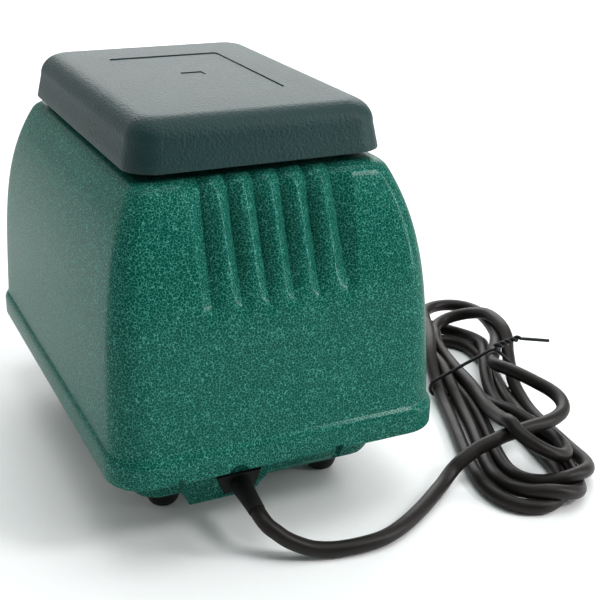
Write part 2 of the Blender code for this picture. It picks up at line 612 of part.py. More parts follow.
def valve_flaps():
    """Umbrella valves: one opens into the pump chamber, the other into the exhaust room."""
    for side, end in ((-1, "front"), (1, "rear")):
        towards_rod = "-Y" if side > 0 else "Y"
        away = "Y" if side > 0 else "-Y"
        umbrella = [(0, 0.0004), (0.0078, 0.0004), (0.0070, 0.0014), (0.0020, 0.0024), (0, 0.0024)]
        intake = aim(turned(umbrella, 12), (0, side * 0.0770, ROD_Z + VALVE_RISE), towards_rod)
        exhaust = aim(turned(umbrella, 12), (0, side * 0.0811, ROD_Z - VALVE_RISE), away)
        place(f"intake_valve_{end}", intake, RUBBER, 40)
        place(f"exhaust_valve_{end}", exhaust, RUBBER, 40)


def wiring():
    low = DECK_TOP + GAP
    block = place("terminal_block", box((-0.0730, -0.0600, low), (-0.0560, -0.0180, low + 0.0150)),
                  RESIN)
    for number in range(3):
        y = -0.0530 + number * 0.0140
        well = aim(rod(0.0030, 0.0100, 12), (-0.0645, y, low + 0.0090))
        cut(block, place(f"cut_terminal_well_{number}", well, None))
    cutout = slab(0.0050, 0.0100, low, low + 0.0080, 0.0040, (-0.0640, 0.0150))
    place("thermal_cutout", cutout, RESIN, 40)


# ------------------------------------------------------------------------------- mains lead
def cord_gland():
    plug = place("cord_gland", prism_along_y(gland_outline(GAP), BOSS_FRONT_Y - 0.0015,
                                             BOSS_FRONT_Y + 0.0070), RUBBER)
    neck = aim(rod(GLAND_NECK, 0.0180, 16), (GLAND_X, BOSS_FRONT_Y + 0.0050, GLAND_Z), "Y")
    join(plug, place("join_gland_neck", neck, None))


def strain_relief():
    """Tapered sleeve in front of the gland, bent down a little with the lead."""
    start = Vector((GLAND_X, BOSS_FRONT_Y - 0.0015 - GAP, GLAND_Z))
    profile = [(0, 0), (0.0066, 0), (0.0066, 0.0020), (0.0050, RELIEF_LENGTH), (0, RELIEF_LENGTH)]
    sleeve = aim(turned(profile, 20), (0, 0, 0), "-Y")
    bmesh.ops.rotate(sleeve, cent=(0, 0, 0), matrix=Matrix.Rotation(RELIEF_DROP, 3, "X"),
                     verts=sleeve.verts)
    bmesh.ops.translate(sleeve, vec=start + Vector((0, -0.0010, 0)), verts=sleeve.verts)
    place("strain_relief", sleeve, RUBBER, 40)


def smooth_route(points, spacing):
    """Points every spacing along a Catmull-Rom curve through the route's own points."""
    padded = [2 * points[0] - points[1], *points, 2 * points[-1] - points[-2]]
    fine = []
    for first, start, end, last in zip(padded, padded[1:], padded[2:], padded[3:]):
        for step in range(40):
            t = step / 40
            fine.append(0.5 * ((2 * start) + (end - first) * t
                               + (2 * first - 5 * start + 4 * end - last) * t ** 2
                               + (3 * start - first - 3 * end + last) * t ** 3))
    fine.append(points[-1])
    route = [fine[0]]
    for point in fine[1:]:
        if (point - route[-1]).length >= spacing:
            route.append(point)
    route[-1] = fine[-1]
    return route


def mains_lead():
    curve = bpy.data.curves.new("mains_lead", "CURVE")
    curve.dimensions = "3D"
    curve.bevel_depth = CORD_RADIUS
    curve.bevel_resolution = 2
    curve.use_fill_caps = True
    route = smooth_route([Vector(point) for point in LEAD_ROUTE], 1.5 * CORD_RADIUS)
    spline = curve.splines.new("POLY")
    spline.points.add(len(route) - 1)
    for point, place_at in zip(spline.points, route):
        point.co = (*place_at, 1.0)
    curve.materials.append(material(CORD_PVC))
    lead = bpy.data.objects.new("mains_lead", curve)
    bpy.context.collection.objects.link(lead)
    lead.parent = case_centre


def stadium(start, end, radius, steps=10):
    """Outline with round ends about a line, as (x, y) points."""
    run = Vector(end) - Vector(start)
    heading = math.atan2(run.y, run.x)
    points = []
    for centre, first in ((end, heading - math.pi / 2), (start, heading + math.pi / 2)):
        for step in range(steps + 1):
            angle = first + math.pi * step / steps
            points.append((centre[0] + radius * math.cos(angle),
                           centre[1] + radius * math.sin(angle)))
    return points


def cord_hank():
    outline = stadium(HANK_FRONT, HANK_REAR, HANK_RADIUS)
    place("cord_hank", stack([(GAP, outline), (HANK_HEIGHT, outline)]), CORD_PVC)


def mains_plug():
    """Moulded flat-blade plug lying on the floor behind the hank."""
    body = box((-0.0130, -0.0190, 0.0003), (0.0130, 0.0190, 0.0200))
    bmesh.ops.bevel(body, geom=body.edges[:], offset=0.0040, segments=2, profile=0.5,
                    affect="EDGES")
    body = place("mains_plug", body, CORD_PVC, 40)
    tail = place("join_plug_tail", aim(turned([(0, 0), (0.0050, 0), (0.0068, 0.0140), (0, 0.0140)],
                                              16), (0, -0.0310, 0.0102), "Y"), None)
    join(body, tail)
    for piece in (body, tail):
        piece.rotation_euler.z = PLUG_TURN
        piece.location = PLUG_PLACE
    for number, x in enumerate((-BLADE_X, BLADE_X)):
        blade = place(f"plug_blade_{number + 1}", box((x - 0.00075, 0.0193, 0.0070),
                                                      (x + 0.00075, 0.0370, 0.0133)), STEEL)
        blade.rotation_euler.z = PLUG_TURN
        blade.location = PLUG_PLACE


clear_scene()
case_centre = bpy.data.objects.new("case_centre", None)
bpy.context.collection.objects.link(case_centre)
case_centre.location = (0, CASE_CENTRE_Y, 0)

upper_housing()
lower_housing()
housing_gasket()
housing_screws()
deck_plate()
tank_gasket()
feet()
outlet_nozzle()
filter_cover()
cover_grommets()
filter_element()
mount_bushes()
motor_frame()
electromagnets()
armature()
pump_heads()
valve_flaps()
wiring()
cord_gland()
strain_relief()
mains_lead()
cord_hank()
mains_plug()
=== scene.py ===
# %% [markdown]
# # A pond air pump in painted cast aluminium
#
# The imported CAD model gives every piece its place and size. This lesson puts the finish on it:
# the fluted green housing, the moulded filter cover, the rubber parts, and the mains lead that
# lies tied in a hank beside the pump.

# %% Load the fixed frame
import json
import math

import bmesh
import bpy
import numpy as np
from mathutils import Matrix, Vector


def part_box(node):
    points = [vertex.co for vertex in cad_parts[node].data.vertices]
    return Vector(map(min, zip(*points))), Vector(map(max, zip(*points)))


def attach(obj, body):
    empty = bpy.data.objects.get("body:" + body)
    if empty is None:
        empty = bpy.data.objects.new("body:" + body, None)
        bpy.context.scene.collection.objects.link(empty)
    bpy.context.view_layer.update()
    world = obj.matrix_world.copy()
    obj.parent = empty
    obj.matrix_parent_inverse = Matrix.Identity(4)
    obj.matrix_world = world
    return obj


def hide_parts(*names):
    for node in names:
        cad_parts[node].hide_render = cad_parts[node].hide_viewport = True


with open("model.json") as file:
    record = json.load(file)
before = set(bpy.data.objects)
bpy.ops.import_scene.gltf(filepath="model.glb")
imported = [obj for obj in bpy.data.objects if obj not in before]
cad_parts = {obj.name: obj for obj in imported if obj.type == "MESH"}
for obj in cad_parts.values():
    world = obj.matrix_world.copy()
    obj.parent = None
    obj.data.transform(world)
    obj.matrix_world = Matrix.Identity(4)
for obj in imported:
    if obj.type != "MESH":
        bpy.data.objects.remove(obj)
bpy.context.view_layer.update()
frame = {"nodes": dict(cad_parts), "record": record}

nodes = frame["nodes"]
case_low, case_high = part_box("upper_housing")
CENTRE_Y = (case_low[1] + case_high[1]) / 2       # the casing is not centred on the whole pump
print("CAD nodes:", len(nodes), "casing centre y:", round(CENTRE_Y, 5))

# %% [markdown]
# ## Camera, floor and light
#
# A short telephoto lens, looking down a little from the front left, keeps upright edges nearly
# parallel. The floor is one large pale sheet. A broad panel overhead gives the flat
# top its pale sheen, a narrow strip at the front right draws a bright line along the crest of
# each rib, and the white surroundings fill the rest.

# %% Camera
def view_camera(place, yaw, pitch, roll, lens):
    """Aim a camera by compass angle, angle below the horizon and roll, all in degrees."""
    yaw, pitch, roll = (math.radians(angle) for angle in (yaw, pitch, roll))
    ahead = Vector((math.sin(yaw) * math.cos(pitch), math.cos(yaw) * math.cos(pitch),
                    -math.sin(pitch)))
    level = Vector((math.cos(yaw), -math.sin(yaw), 0))
    upward = level.cross(ahead)
    right = level * math.cos(roll) + upward * math.sin(roll)
    upward = upward * math.cos(roll) - level * math.sin(roll)
    data = bpy.data.cameras.new("studio_camera")
    data.lens = lens
    data.sensor_width = 36
    camera = bpy.data.objects.new("studio_camera", data)
    turned = Matrix((right, upward, -ahead)).transposed().to_4x4()
    camera.matrix_world = Matrix.Translation(place) @ turned
    bpy.context.collection.objects.link(camera)
    return camera


# plain sRGB display, so that white paper shows as white
bpy.context.scene.view_settings.view_transform = "Standard"
camera = view_camera((-0.2154, CENTRE_Y - 0.5815, 0.3447), 25.8, 22.8, 1.3, 69.04)
bpy.context.scene.camera = camera
print("camera", round(camera.location.length, 3), "m from the pump, lens", camera.data.lens, "mm")


# %% Small helpers for materials
def colour(code):
    """Turn an sRGB hex code into the linear colour that shaders use."""
    parts = [int(code[i:i + 2], 16) / 255 for i in (1, 3, 5)]
    linear = [part / 12.92 if part <= 0.04045 else ((part + 0.055) / 1.055) ** 2.4 for part in parts]
    return (*linear, 1.0)


def per_metre(millimetres):
    """Texture scale that repeats once in so many millimetres."""
    return 1000 / millimetres


def add(tree, kind, settings=(), links=()):
    """Add one shader node: settings name its attributes or sockets, links name what feeds them."""
    made = tree.nodes.new("ShaderNode" + kind)
    for key, value in dict(settings).items():
        if isinstance(key, str) and hasattr(made, key):
            setattr(made, key, value)
        else:
            made.inputs[key].default_value = value
    for key, source in dict(links).items():
        tree.links.new(source, made.inputs[key])
    return made


def new_material(name, **surface):
    """A material with its Principled shader set; returns material, node tree, shader, position."""
    made = bpy.data.materials.new(name)
    made.use_nodes = True
    tree = made.node_tree
    shader = tree.nodes["Principled BSDF"]
    for socket, value in surface.items():
        shader.inputs[socket.replace("_", " ")].default_value = value
    position = add(tree, "TexCoord").outputs["Object"]
    return made, tree, shader, position


def link_surface(tree, shader, tone, bump, gloss=None):
    """Feed a material's colour, bump and, where it varies, roughness into its shader."""
    tree.links.new(tone.outputs[2], shader.inputs["Base Color"])
    tree.links.new(bump.outputs["Normal"], shader.inputs["Normal"])
    if gloss:
        tree.links.new(gloss.outputs["Result"], shader.inputs["Roughness"])


# %% Floor and lights
def studio_light(name, place, aim, size, power, tint):
    data = bpy.data.lights.new(name, "AREA")
    data.shape = "RECTANGLE"
    data.size, data.size_y = size
    data.energy = power
    data.color = colour(tint)[:3]
    lamp = bpy.data.objects.new(name, data)
    lamp.location = place
    lamp.rotation_euler = (Vector(aim) - Vector(place)).to_track_quat("-Z", "Y").to_euler()
    bpy.context.collection.objects.link(lamp)


paper, tree, shader, position = new_material("white_paper", Roughness=0.9)
fibre = add(tree, "TexNoise", {"Scale": per_metre(4), "Detail": 3}, {"Vector": position})
tint = add(tree, "Mix", {"data_type": "RGBA", 6: colour("#fbfbfb"), 7: colour("#ffffff")},
           {0: fibre.outputs["Fac"]})
tree.links.new(tint.outputs[2], shader.inputs["Base Color"])

sheet = bmesh.new()
bmesh.ops.create_grid(sheet, x_segments=8, y_segments=8, size=6)
floor_mesh = bpy.data.meshes.new("floor")
sheet.to_mesh(floor_mesh)
sheet.free()
floor_mesh.materials.append(paper)
floor = bpy.data.objects.new("floor", floor_mesh)
bpy.context.collection.objects.link(floor)

studio_light("rear_panel", (0.9, 1.9, 1.25), (0, 0, 0.1), (2.2, 1.3), 36, "#ffffff")
studio_light("overhead_panel", (0.2, -0.2, 2.1), (0, 0, 0.1), (1.6, 1.6), 20, "#f7ffff")
studio_light("key_panel", (1.1, -1.25, 1.5), (0, 0, 0.1), (0.45, 0.45), 15, "#ffffff")
studio_light("strip_panel", (1.25, -0.90, 0.50), (0, 0, 0.1), (0.12, 0.90), 9, "#ffffff")
world = bpy.data.worlds.new("white_room")
world.use_nodes = True
sky = world.node_tree                     # white room, dimmer on the side where the camera stands
direction = add(sky, "TexCoord").outputs["Generated"]
toward = add(sky, "VectorMath", {"operation": "DOT_PRODUCT", 1: (0.05, -0.97, 0.20)}, {0: direction})
level = add(sky, "MapRange", {"From Min": -0.3, "From Max": 0.9, "To Min": 0.75, "To Max": 0.05},
            {"Value": toward.outputs["Value"]})
sky.nodes["Background"].inputs["Color"].default_value = colour("#ffffff")
sky.links.new(level.outputs["Result"], sky.nodes["Background"].inputs["Strength"])
bpy.context.scene.world = world
print("lights:", len(bpy.data.lights), "panels and a white room")

# %% [markdown]
# ## Building and placing a piece
#
# Every finished piece is a mesh whose object sits at the origin, so patterns on Object
# coordinates stay put. Shapes are drawn about the middle of the casing and moved to their place
# in the mesh. Edges sharper than a given angle stay crisp, and the rest is shaded smooth.


# %% Helpers for pieces
def to_object(name, bm, shift=True):
    """Close a bmesh into an object at the origin, with its normals outward."""
    if shift:
        bmesh.ops.translate(bm, vec=(0, CENTRE_Y, 0), verts=bm.verts)
    bmesh.ops.recalc_face_normals(bm, faces=bm.faces)
    mesh = bpy.data.meshes.new(name)
    bm.to_mesh(mesh)
    bm.free()
    made = bpy.data.objects.new(name, mesh)
    bpy.context.collection.objects.link(made)
    return made


def apply_modifiers(piece):
    """Make the modifiers' result the piece's own mesh."""
    result = bpy.data.meshes.new_from_object(
        piece.evaluated_get(bpy.context.evaluated_depsgraph_get()))
    spent = piece.data
    piece.modifiers.clear()
    piece.data = result
    bpy.data.meshes.remove(spent)


def carve(piece, *tools, operation="DIFFERENCE"):
    """Cut tools out of a piece (or join them to it) with the exact solver."""
    for tool in tools:
        step = piece.modifiers.new("carve", "BOOLEAN")
        step.operation = operation
        step.solver = "EXACT"
        step.object = tool
    bpy.context.view_layer.update()
    apply_modifiers(piece)
    for tool in tools:
        bpy.data.objects.remove(tool)


def dress(piece, look, stands_for, body="case", crease=35):
    """Give a piece its material, shading and body, and hide the CAD nodes that it stands for."""
    piece.data.materials.clear()
    piece.data.materials.append(look)
    piece.data.shade_smooth()
    piece.data.set_sharp_from_angle(angle=math.radians(crease))
    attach(piece, body)
    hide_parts(*stands_for)
    print(piece.name, len(piece.data.polygons), "faces")
    return piece


def rounded_plate(half_x, half_y, radius, z, segments=8, centre=(0, 0)):
    """A flat face with rounded corners."""
    bm = bmesh.new()
    bmesh.ops.create_grid(bm, x_segments=1, y_segments=1, size=1)
    bmesh.ops.scale(bm, vec=(half_x, half_y, 1), verts=bm.verts)
    bmesh.ops.bevel(bm, geom=bm.verts[:], offset=radius, segments=segments, profile=0.5,
                    affect="VERTICES", material=-1)
    bmesh.ops.translate(bm, vec=(*centre, z), verts=bm.verts)
    return bm


def block(half_x, half_y, radius, z_low, z_high, centre=(0, 0), segments=8):
    """A rounded plate pulled up into a solid."""
    bm = rounded_plate(half_x, half_y, radius, z_low, segments, centre)
    raise_faces(bm, bm.faces[:], (0, 0, z_high - z_low))
    return bm


def raise_faces(bm, faces, step):
    moved = bmesh.ops.extrude_face_region(bm, geom=faces)["geom"]
    bmesh.ops.translate(bm, vec=step, verts=[v for v in moved if isinstance(v, bmesh.types.BMVert)])


def slice_across(bm, axis, places):
    """Cut all faces by planes square to an axis, which gives a shape more points to move."""
    normal = [int(axis == k) for k in range(3)]
    for place in places:
        bmesh.ops.bisect_plane(bm, geom=bm.verts[:] + bm.edges[:] + bm.faces[:], dist=1e-7,
                               plane_co=[place * part for part in normal], plane_no=normal)


def turned(profile, steps=48):
    """Spin a (radius, height) profile about Z into a closed solid."""
    bm = bmesh.new()
    line = [bm.verts.new((radius, 0, height)) for radius, height in profile]
    edges = [bm.edges.new(pair) for pair in zip(line, line[1:])]
    bmesh.ops.spin(bm, geom=line + edges, cent=(0, 0, 0), axis=(0, 0, 1), angle=math.tau,
                   steps=steps, use_merge=True)
    bmesh.ops.remove_doubles(bm, verts=bm.verts, dist=1e-6)
    return bm


def aim(bm, centre, turn=None):
    """Turn a shape about the origin and move it to its place."""
    if turn is not None:
        bmesh.ops.rotate(bm, cent=(0, 0, 0), matrix=turn, verts=bm.verts)
    bmesh.ops.translate(bm, vec=centre, verts=bm.verts)
    return bm


def rod(radius, length, steps=32):
    return turned([(0, 0), (radius, 0), (radius, length), (0, length)], steps)


ALONG_Y = Matrix.Rotation(math.radians(-90), 3, "X")       # turns +Z to +Y
ALONG_MINUS_Y = Matrix.Rotation(math.radians(90), 3, "X")  # turns +Z to -Y

# %% [markdown]
# ## The mains lead
#
# A mains lead is a fixed length of round PVC cable. It leaves the rubber gland straight, drops
# to the floor, and climbs onto its own hank. A hank is hand-wound: loops about half a metre
# round, fanned at the ends and squeezed where the tie holds them. The free stretch is a short
# list of points. The turns are worked out in a loop from the middle of each bend, and then they
# settle like a real cable: strands push each other apart, weight pulls them down, stiffness
# keeps the bends round, and the length stays as it was.

# %% Route of the lead
CORD_RADIUS = 0.0041
CORD_STEP = 0.005
HANK_START = Vector((0.1500, -0.1280))
HANK_ALONG = Vector((0.2410, 0.9705)).normalized()
HANK_ACROSS = Vector((HANK_ALONG.y, -HANK_ALONG.x))

# from the sleeve to the hank, about the middle of the casing
LEAD_ROUTE = [(-0.0180, -0.1303, 0.0214), (-0.0180, -0.1345, 0.0208), (-0.0166, -0.1392, 0.0186),
              (-0.0130, -0.1422, 0.0155), (-0.0090, -0.1450, 0.0122), (-0.0037, -0.1472, 0.0092),
              (0.0021, -0.1492, 0.0066), (0.0077, -0.1508, 0.0052), (0.0143, -0.1525, 0.0045),
              (0.0215, -0.1538, 0.0044), (0.0303, -0.1544, 0.0044), (0.0397, -0.1540, 0.0044),
              (0.0496, -0.1512, 0.0044), (0.0608, -0.1459, 0.0044), (0.0696, -0.1407, 0.0044),
              (0.0786, -0.1350, 0.0046), (0.0888, -0.1280, 0.0050), (0.0975, -0.1222, 0.0058)]
# up over the front of the hank and back to the tie
CLIMB = [(0.1058, -0.1176, 0.0090), (0.1118, -0.1166, 0.0130), (0.1182, -0.1160, 0.0160),
         (0.1255, -0.1157, 0.0190), (0.1320, -0.1164, 0.0210), (0.1400, -0.1165, 0.0230),
         (0.1480, -0.1169, 0.0240), (0.1570, -0.1168, 0.0250), (0.1690, -0.1158, 0.0250),
         (0.1800, -0.1125, 0.0250), (0.1890, -0.1060, 0.0250), (0.1935, -0.0970, 0.0260),
         (0.1938, -0.0870, 0.0270), (0.1910, -0.0770, 0.0280), (0.1875, -0.0670, 0.0290),
         (0.1845, -0.0560, 0.0290), (0.1820, -0.0440, 0.0280)]
# each turn, in millimetres along the hank, across it and up:
# rear bend (along, across, radius, up), left strand, front bend, right strand
TURNS = [((182, 15, 21, 20), (83, -22, 13), (-15, -7, 23, 5), (84, 12, 5)),
         ((174, 8, 21, 13), (82, -12, 13), (-13, 2, 23, 13), (84, 19, 12)),
         ((158, 4, 20, 6), (84, -5, 5), (-2, 12, 23, 21), (84, 26, 20)),
         ((166, 13, 21, 28), (84, 0, 22), (8, 8, 19, 28), (84, 3, 6))]
TAIL = [(112, 1, 5), (136, -1, 5), (160, -7, 6)]


def on_hank(along, across, up):
    """A point given in millimetres along and across the hank."""
    flat = HANK_START + HANK_ALONG * (along / 1000) + HANK_ACROSS * (across / 1000)
    return Vector((flat.x, flat.y, up / 1000))


def half_turn(middle, side, steps=7):
    """Points round one end of the hank: side is 1 at the rear and -1 at the front."""
    along, across, radius, up = middle
    angles = [math.pi * step / steps for step in range(steps + 1)]
    return [on_hank(along + side * radius * math.sin(angle), across + side * radius * math.cos(angle), up)
            for angle in angles]


PLUG_TURN = math.radians(14)
plug_place = Vector((0.1702, 0.0962, 0))
plug_along = Vector((-math.sin(PLUG_TURN), math.cos(PLUG_TURN), 0))
cord_end = plug_place - plug_along * 0.0290 + Vector((0, 0, 0.0102))

route = [Vector(point) for point in LEAD_ROUTE + CLIMB] + [on_hank(118, 22, 24), on_hank(150, 34, 21)]
for rear, left, front, right in TURNS:
    route += half_turn(rear, 1) + [on_hank(*left)] + half_turn(front, -1) + [on_hank(*right)]
route += [on_hank(*point) for point in TAIL] + [cord_end - plug_along * 0.012, cord_end]


# %% Smooth the route and let it settle
def smooth_line(points, spacing):
    """Even points along a centripetal Catmull-Rom curve."""
    points = np.array([tuple(point) for point in points])
    points = np.vstack([2 * points[0] - points[1], points, 2 * points[-1] - points[-2]])
    fine = []
    for p0, p1, p2, p3 in zip(points, points[1:], points[2:], points[3:]):
        knots = np.cumsum([0] + [max(np.linalg.norm(b - a), 1e-6) ** 0.5
                                 for a, b in ((p0, p1), (p1, p2), (p2, p3))])
        for t in np.linspace(knots[1], knots[2], 16, endpoint=False):
            def mix(a, b, i, j):
                return ((knots[j] - t) * a + (t - knots[i]) * b) / (knots[j] - knots[i])
            low = mix(mix(p0, p1, 0, 1), mix(p1, p2, 1, 2), 0, 2)
            high = mix(mix(p1, p2, 1, 2), mix(p2, p3, 2, 3), 1, 3)
            fine.append(mix(low, high, 1, 2))
    fine = np.array(fine + [points[-2]])
    run = np.concatenate([[0], np.cumsum(np.linalg.norm(np.diff(fine, axis=0), axis=1))])
    count = int(round(run[-1] / spacing))
    even = np.linspace(0, run[-1], count + 1)
    return np.stack([np.interp(even, run, fine[:, axis]) for axis in range(3)], axis=1)


TOUCH = 2.06 * CORD_RADIUS              # strands nearer than this push each other apart
REST_Z = CORD_RADIUS + 0.0003           # height of the middle of a strand on the floor
SAG = 0.00010                           # how far weight lowers the cable in one round
FRICTION = 0.05                         # how strongly the floor keeps a strand where it was laid
# stiffness: points on each side, and share of the way to their middle; each pair smooths a bend
# and gives back what that shrank
STIFFNESS = ((1, 0.5), (1, -0.51), (2, 0.4), (2, -0.41), (4, 0.3), (4, -0.305))


def settle(line, held_start, held_end, rounds=260):
    """Relax a cable: strands touch but do not cross, and rest on the floor and on each other."""
    home, line = line.copy(), line.copy()
    count = len(line)
    step = np.linalg.norm(np.diff(home, axis=0), axis=1)
    free = np.ones(count)
    free[:held_start] = 0
    free[count - held_end:] = 0
    first, second = np.triu_indices(count, 5)
    busy = (free[first] + free[second]) > 0
    first, second = first[busy], second[busy]
    for _ in range(rounds):
        line[:, 2] -= SAG * free
        for reach, share in STIFFNESS:
            middle = (line[:-2 * reach] + line[2 * reach:]) / 2
            line[reach:-reach] += share * (middle - line[reach:-reach]) * free[reach:-reach, None]
        line[:, :2] += FRICTION * (home - line)[:, :2] * free[:, None]
        for parity in (0, 1):
            a, b = line[parity:-1:2], line[parity + 1::2]
            a = a[:len(b)]
            apart = b - a
            length = np.linalg.norm(apart, axis=1)
            wanted = step[parity::2][:len(b)]
            share_a, share_b = free[parity:-1:2][:len(b)], free[parity + 1::2]
            total = np.maximum(share_a + share_b, 1)
            change = apart * ((length - wanted) / length / total)[:, None]
            a += change * share_a[:, None]
            b -= change * share_b[:, None]
        for _ in range(2):
            apart = line[first] - line[second]
            distance = np.linalg.norm(apart, axis=1)
            close = distance < TOUCH
            one, two = first[close], second[close]
            push = apart[close] * ((TOUCH / distance[close] - 1) * 0.5)[:, None]
            np.add.at(line, one, 0.7 * push * free[one][:, None])
            np.add.at(line, two, -0.7 * push * free[two][:, None])
        line[:, 2] = np.where(free > 0, np.maximum(line[:, 2], REST_Z), line[:, 2])
    return line


HELD_START, HELD_END = 96, 5            # points that stay as routed, at the sleeve and the plug
rough = smooth_line(route, CORD_STEP)
settled = settle(rough, HELD_START, HELD_END)
cord_line = smooth_line([Vector(point) for point in settled], CORD_STEP / 2)
cord_line[:, 1] += CENTRE_Y

# %% [markdown]
# ### Black PVC, the sheath of the lead
#
# The sheath is plasticised PVC, extruded round. It is nearly black with a soft, slightly oily
# gloss: a long highlight runs down every strand, broken by faint ripples from the extruder.
# Plug and tie are the same PVC, moulded. Sleeve, gland and feet are nitrile rubber, which is
# duller.


# %% PVC materials
def dark_moulding(name, base, worn, roughness, grain, depth):
    """Black plastic or rubber: a slightly uneven tone, and a fine skin as bump."""
    made, tree, shader, position = new_material(name, IOR=1.5, Specular_IOR_Level=0.22)
    cloud = add(tree, "TexNoise", {"Scale": per_metre(9), "Detail": 4}, {"Vector": position})
    tone = add(tree, "Mix", {"data_type": "RGBA", 6: colour(base), 7: colour(worn)},
               {0: cloud.outputs["Fac"]})
    gloss = add(tree, "MapRange", {"To Min": roughness - 0.08, "To Max": roughness + 0.08},
                {"Value": cloud.outputs["Fac"]})
    skin = add(tree, "TexNoise", {"Scale": per_metre(grain), "Detail": 3}, {"Vector": position})
    bump = add(tree, "Bump", {"Strength": 0.5, "Distance": depth}, {"Height": skin.outputs["Fac"]})
    link_surface(tree, shader, tone, bump, gloss)
    return made


pvc_sheath = dark_moulding("extruded_pvc_sheath", "#141110", "#1f1a18", 0.44, 2.0, 0.00006)
moulded_pvc = dark_moulding("moulded_pvc", "#121214", "#1d1d20", 0.48, 0.6, 0.00006)
nitrile_rubber = dark_moulding("moulded_nitrile_rubber", "#0d0c0d", "#1a191a", 0.62, 0.7, 0.00008)

# %% The lead as one curve
def round_curve(name, points, radius, sides, closed=False):
    """A round cord through points, as a curve object."""
    curve = bpy.data.curves.new(name, "CURVE")
    curve.dimensions = "3D"
    curve.bevel_depth = radius
    curve.bevel_resolution = sides
    curve.use_fill_caps = True
    spline = curve.splines.new("POLY")
    spline.points.add(len(points) - 1)
    spline.use_cyclic_u = closed
    for spot, point in zip(spline.points, points):
        spot.co = (*point, 1.0)
    made = bpy.data.objects.new(name, curve)
    bpy.context.collection.objects.link(made)
    return made


lead = round_curve("mains_lead_run", cord_line, CORD_RADIUS, 6)
lead.data.materials.append(pvc_sheath)
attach(lead, "case")
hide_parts("mains_lead", "cord_hank")

# %% [markdown]
# ### The wire tie
#
# A factory ties the hank with a short length of PVC-covered soft wire. It lies tight round the
# bundle where the strands are closest, and its two ends are twisted together and left as tails.
# The wire follows the outline of the strands that it holds, so the outline is worked out from
# where the lead really runs there.

# %% Wire round the strands
TIE_RADIUS = 0.0011
TIE_ALONG = 0.1010
TWIST_LENGTH = 0.020
TWIST_TURNS = 2.5
TWIST_STEPS = 48


def wire(name, points, radius, look, closed=False):
    """A round wire along points, made into a mesh."""
    made = round_curve(name, points, radius, 3, closed)
    curve = made.data
    bpy.context.view_layer.update()
    mesh = bpy.data.meshes.new_from_object(made.evaluated_get(bpy.context.evaluated_depsgraph_get()))
    bpy.data.objects.remove(made)
    bpy.data.curves.remove(curve)
    mesh.materials.clear()
    mesh.materials.append(look)
    mesh.shade_smooth()
    piece = bpy.data.objects.new(name, mesh)
    bpy.context.collection.objects.link(piece)
    return piece


def outline_round(spots, reach, steps=48):
    """Taut outline, a distance outside a set of flat points."""
    outline = []
    for step in range(steps):
        angle = math.tau * step / steps
        way = np.array([math.cos(angle), math.sin(angle)])
        outline.append(tuple(spots[np.argmax(spots @ way)] + way * reach))
    return outline


flat = cord_line[:, :2] - np.array([HANK_START.x, HANK_START.y + CENTRE_Y])
along_hank = flat @ np.array(HANK_ALONG)
across_hank = flat @ np.array(HANK_ACROSS)
held = (abs(along_hank - TIE_ALONG) < 0.0022) & (cord_line[:, 1] > -0.12)
strands = np.stack([across_hank[held], cord_line[held, 2]], axis=1)
tie_outline = outline_round(strands, CORD_RADIUS + TIE_RADIUS + 0.0002)
origin = HANK_START + HANK_ALONG * TIE_ALONG
tie_points = [(origin.x + HANK_ACROSS.x * across, origin.y + CENTRE_Y + HANK_ACROSS.y * across,
               max(up, TIE_RADIUS + 0.0002)) for across, up in tie_outline]
tie = wire("wire_tie", tie_points, TIE_RADIUS, moulded_pvc, closed=True)
top_of_tie = Vector(max(tie_points, key=lambda point: point[2] + 0.3 * point[0]))
twist, tails = [], []
for phase in (0, math.pi):
    strand = []
    for step in range(TWIST_STEPS + 1):
        share = step / TWIST_STEPS
        spin = phase + share * math.tau * TWIST_TURNS
        opening = TIE_RADIUS * (1.0 + 2.0 * max(0, share - 0.85))
        middle = top_of_tie + Vector((TWIST_LENGTH * share, 0.002 * share, 0.0022 + 0.002 * share))
        strand.append(middle + Vector((0, math.cos(spin), math.sin(spin))) * opening)
    if phase == 0:
        strand += [strand[-1] + Vector((0.0045 * k, -0.0016 * k, -0.0005 * k)) for k in (1, 2, 3, 4)]
    twist.append(wire(f"wire_tie_twist_{1 if phase == 0 else 2}", strand, TIE_RADIUS, moulded_pvc))
for piece in [tie, *twist]:
    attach(piece, "case")
print("tie holds", len(strands), "points of the lead")

# %% [markdown]
# ### Plug, sleeve and gland
#
# The plug is moulded round its blades, with soft edges and a ribbed tail that stops the lead
# from kinking. The sleeve at the casing is a plain rubber taper. All are soft, so every edge has
# a small radius.


# %% Plug and blades
def plug_body():
    bm = bmesh.new()
    bmesh.ops.create_cube(bm, size=1)
    bmesh.ops.scale(bm, vec=(0.0256, 0.0376, 0.0194), verts=bm.verts)
    bmesh.ops.translate(bm, vec=(0, 0, 0.0102), verts=bm.verts)
    bmesh.ops.subdivide_edges(bm, edges=bm.edges[:], cuts=1, use_grid_fill=True)
    for vert in bm.verts:                         # narrower towards the lead
        vert.co.x *= 1 - 0.22 * max(0, -vert.co.y / 0.0188)
    sharp = [edge for edge in bm.edges if len(edge.link_faces) == 2
             and edge.calc_face_angle() > math.radians(40)]
    bmesh.ops.bevel(bm, geom=sharp, offset=0.0042, segments=5, profile=0.5, affect="EDGES",
                    material=-1)
    return bm


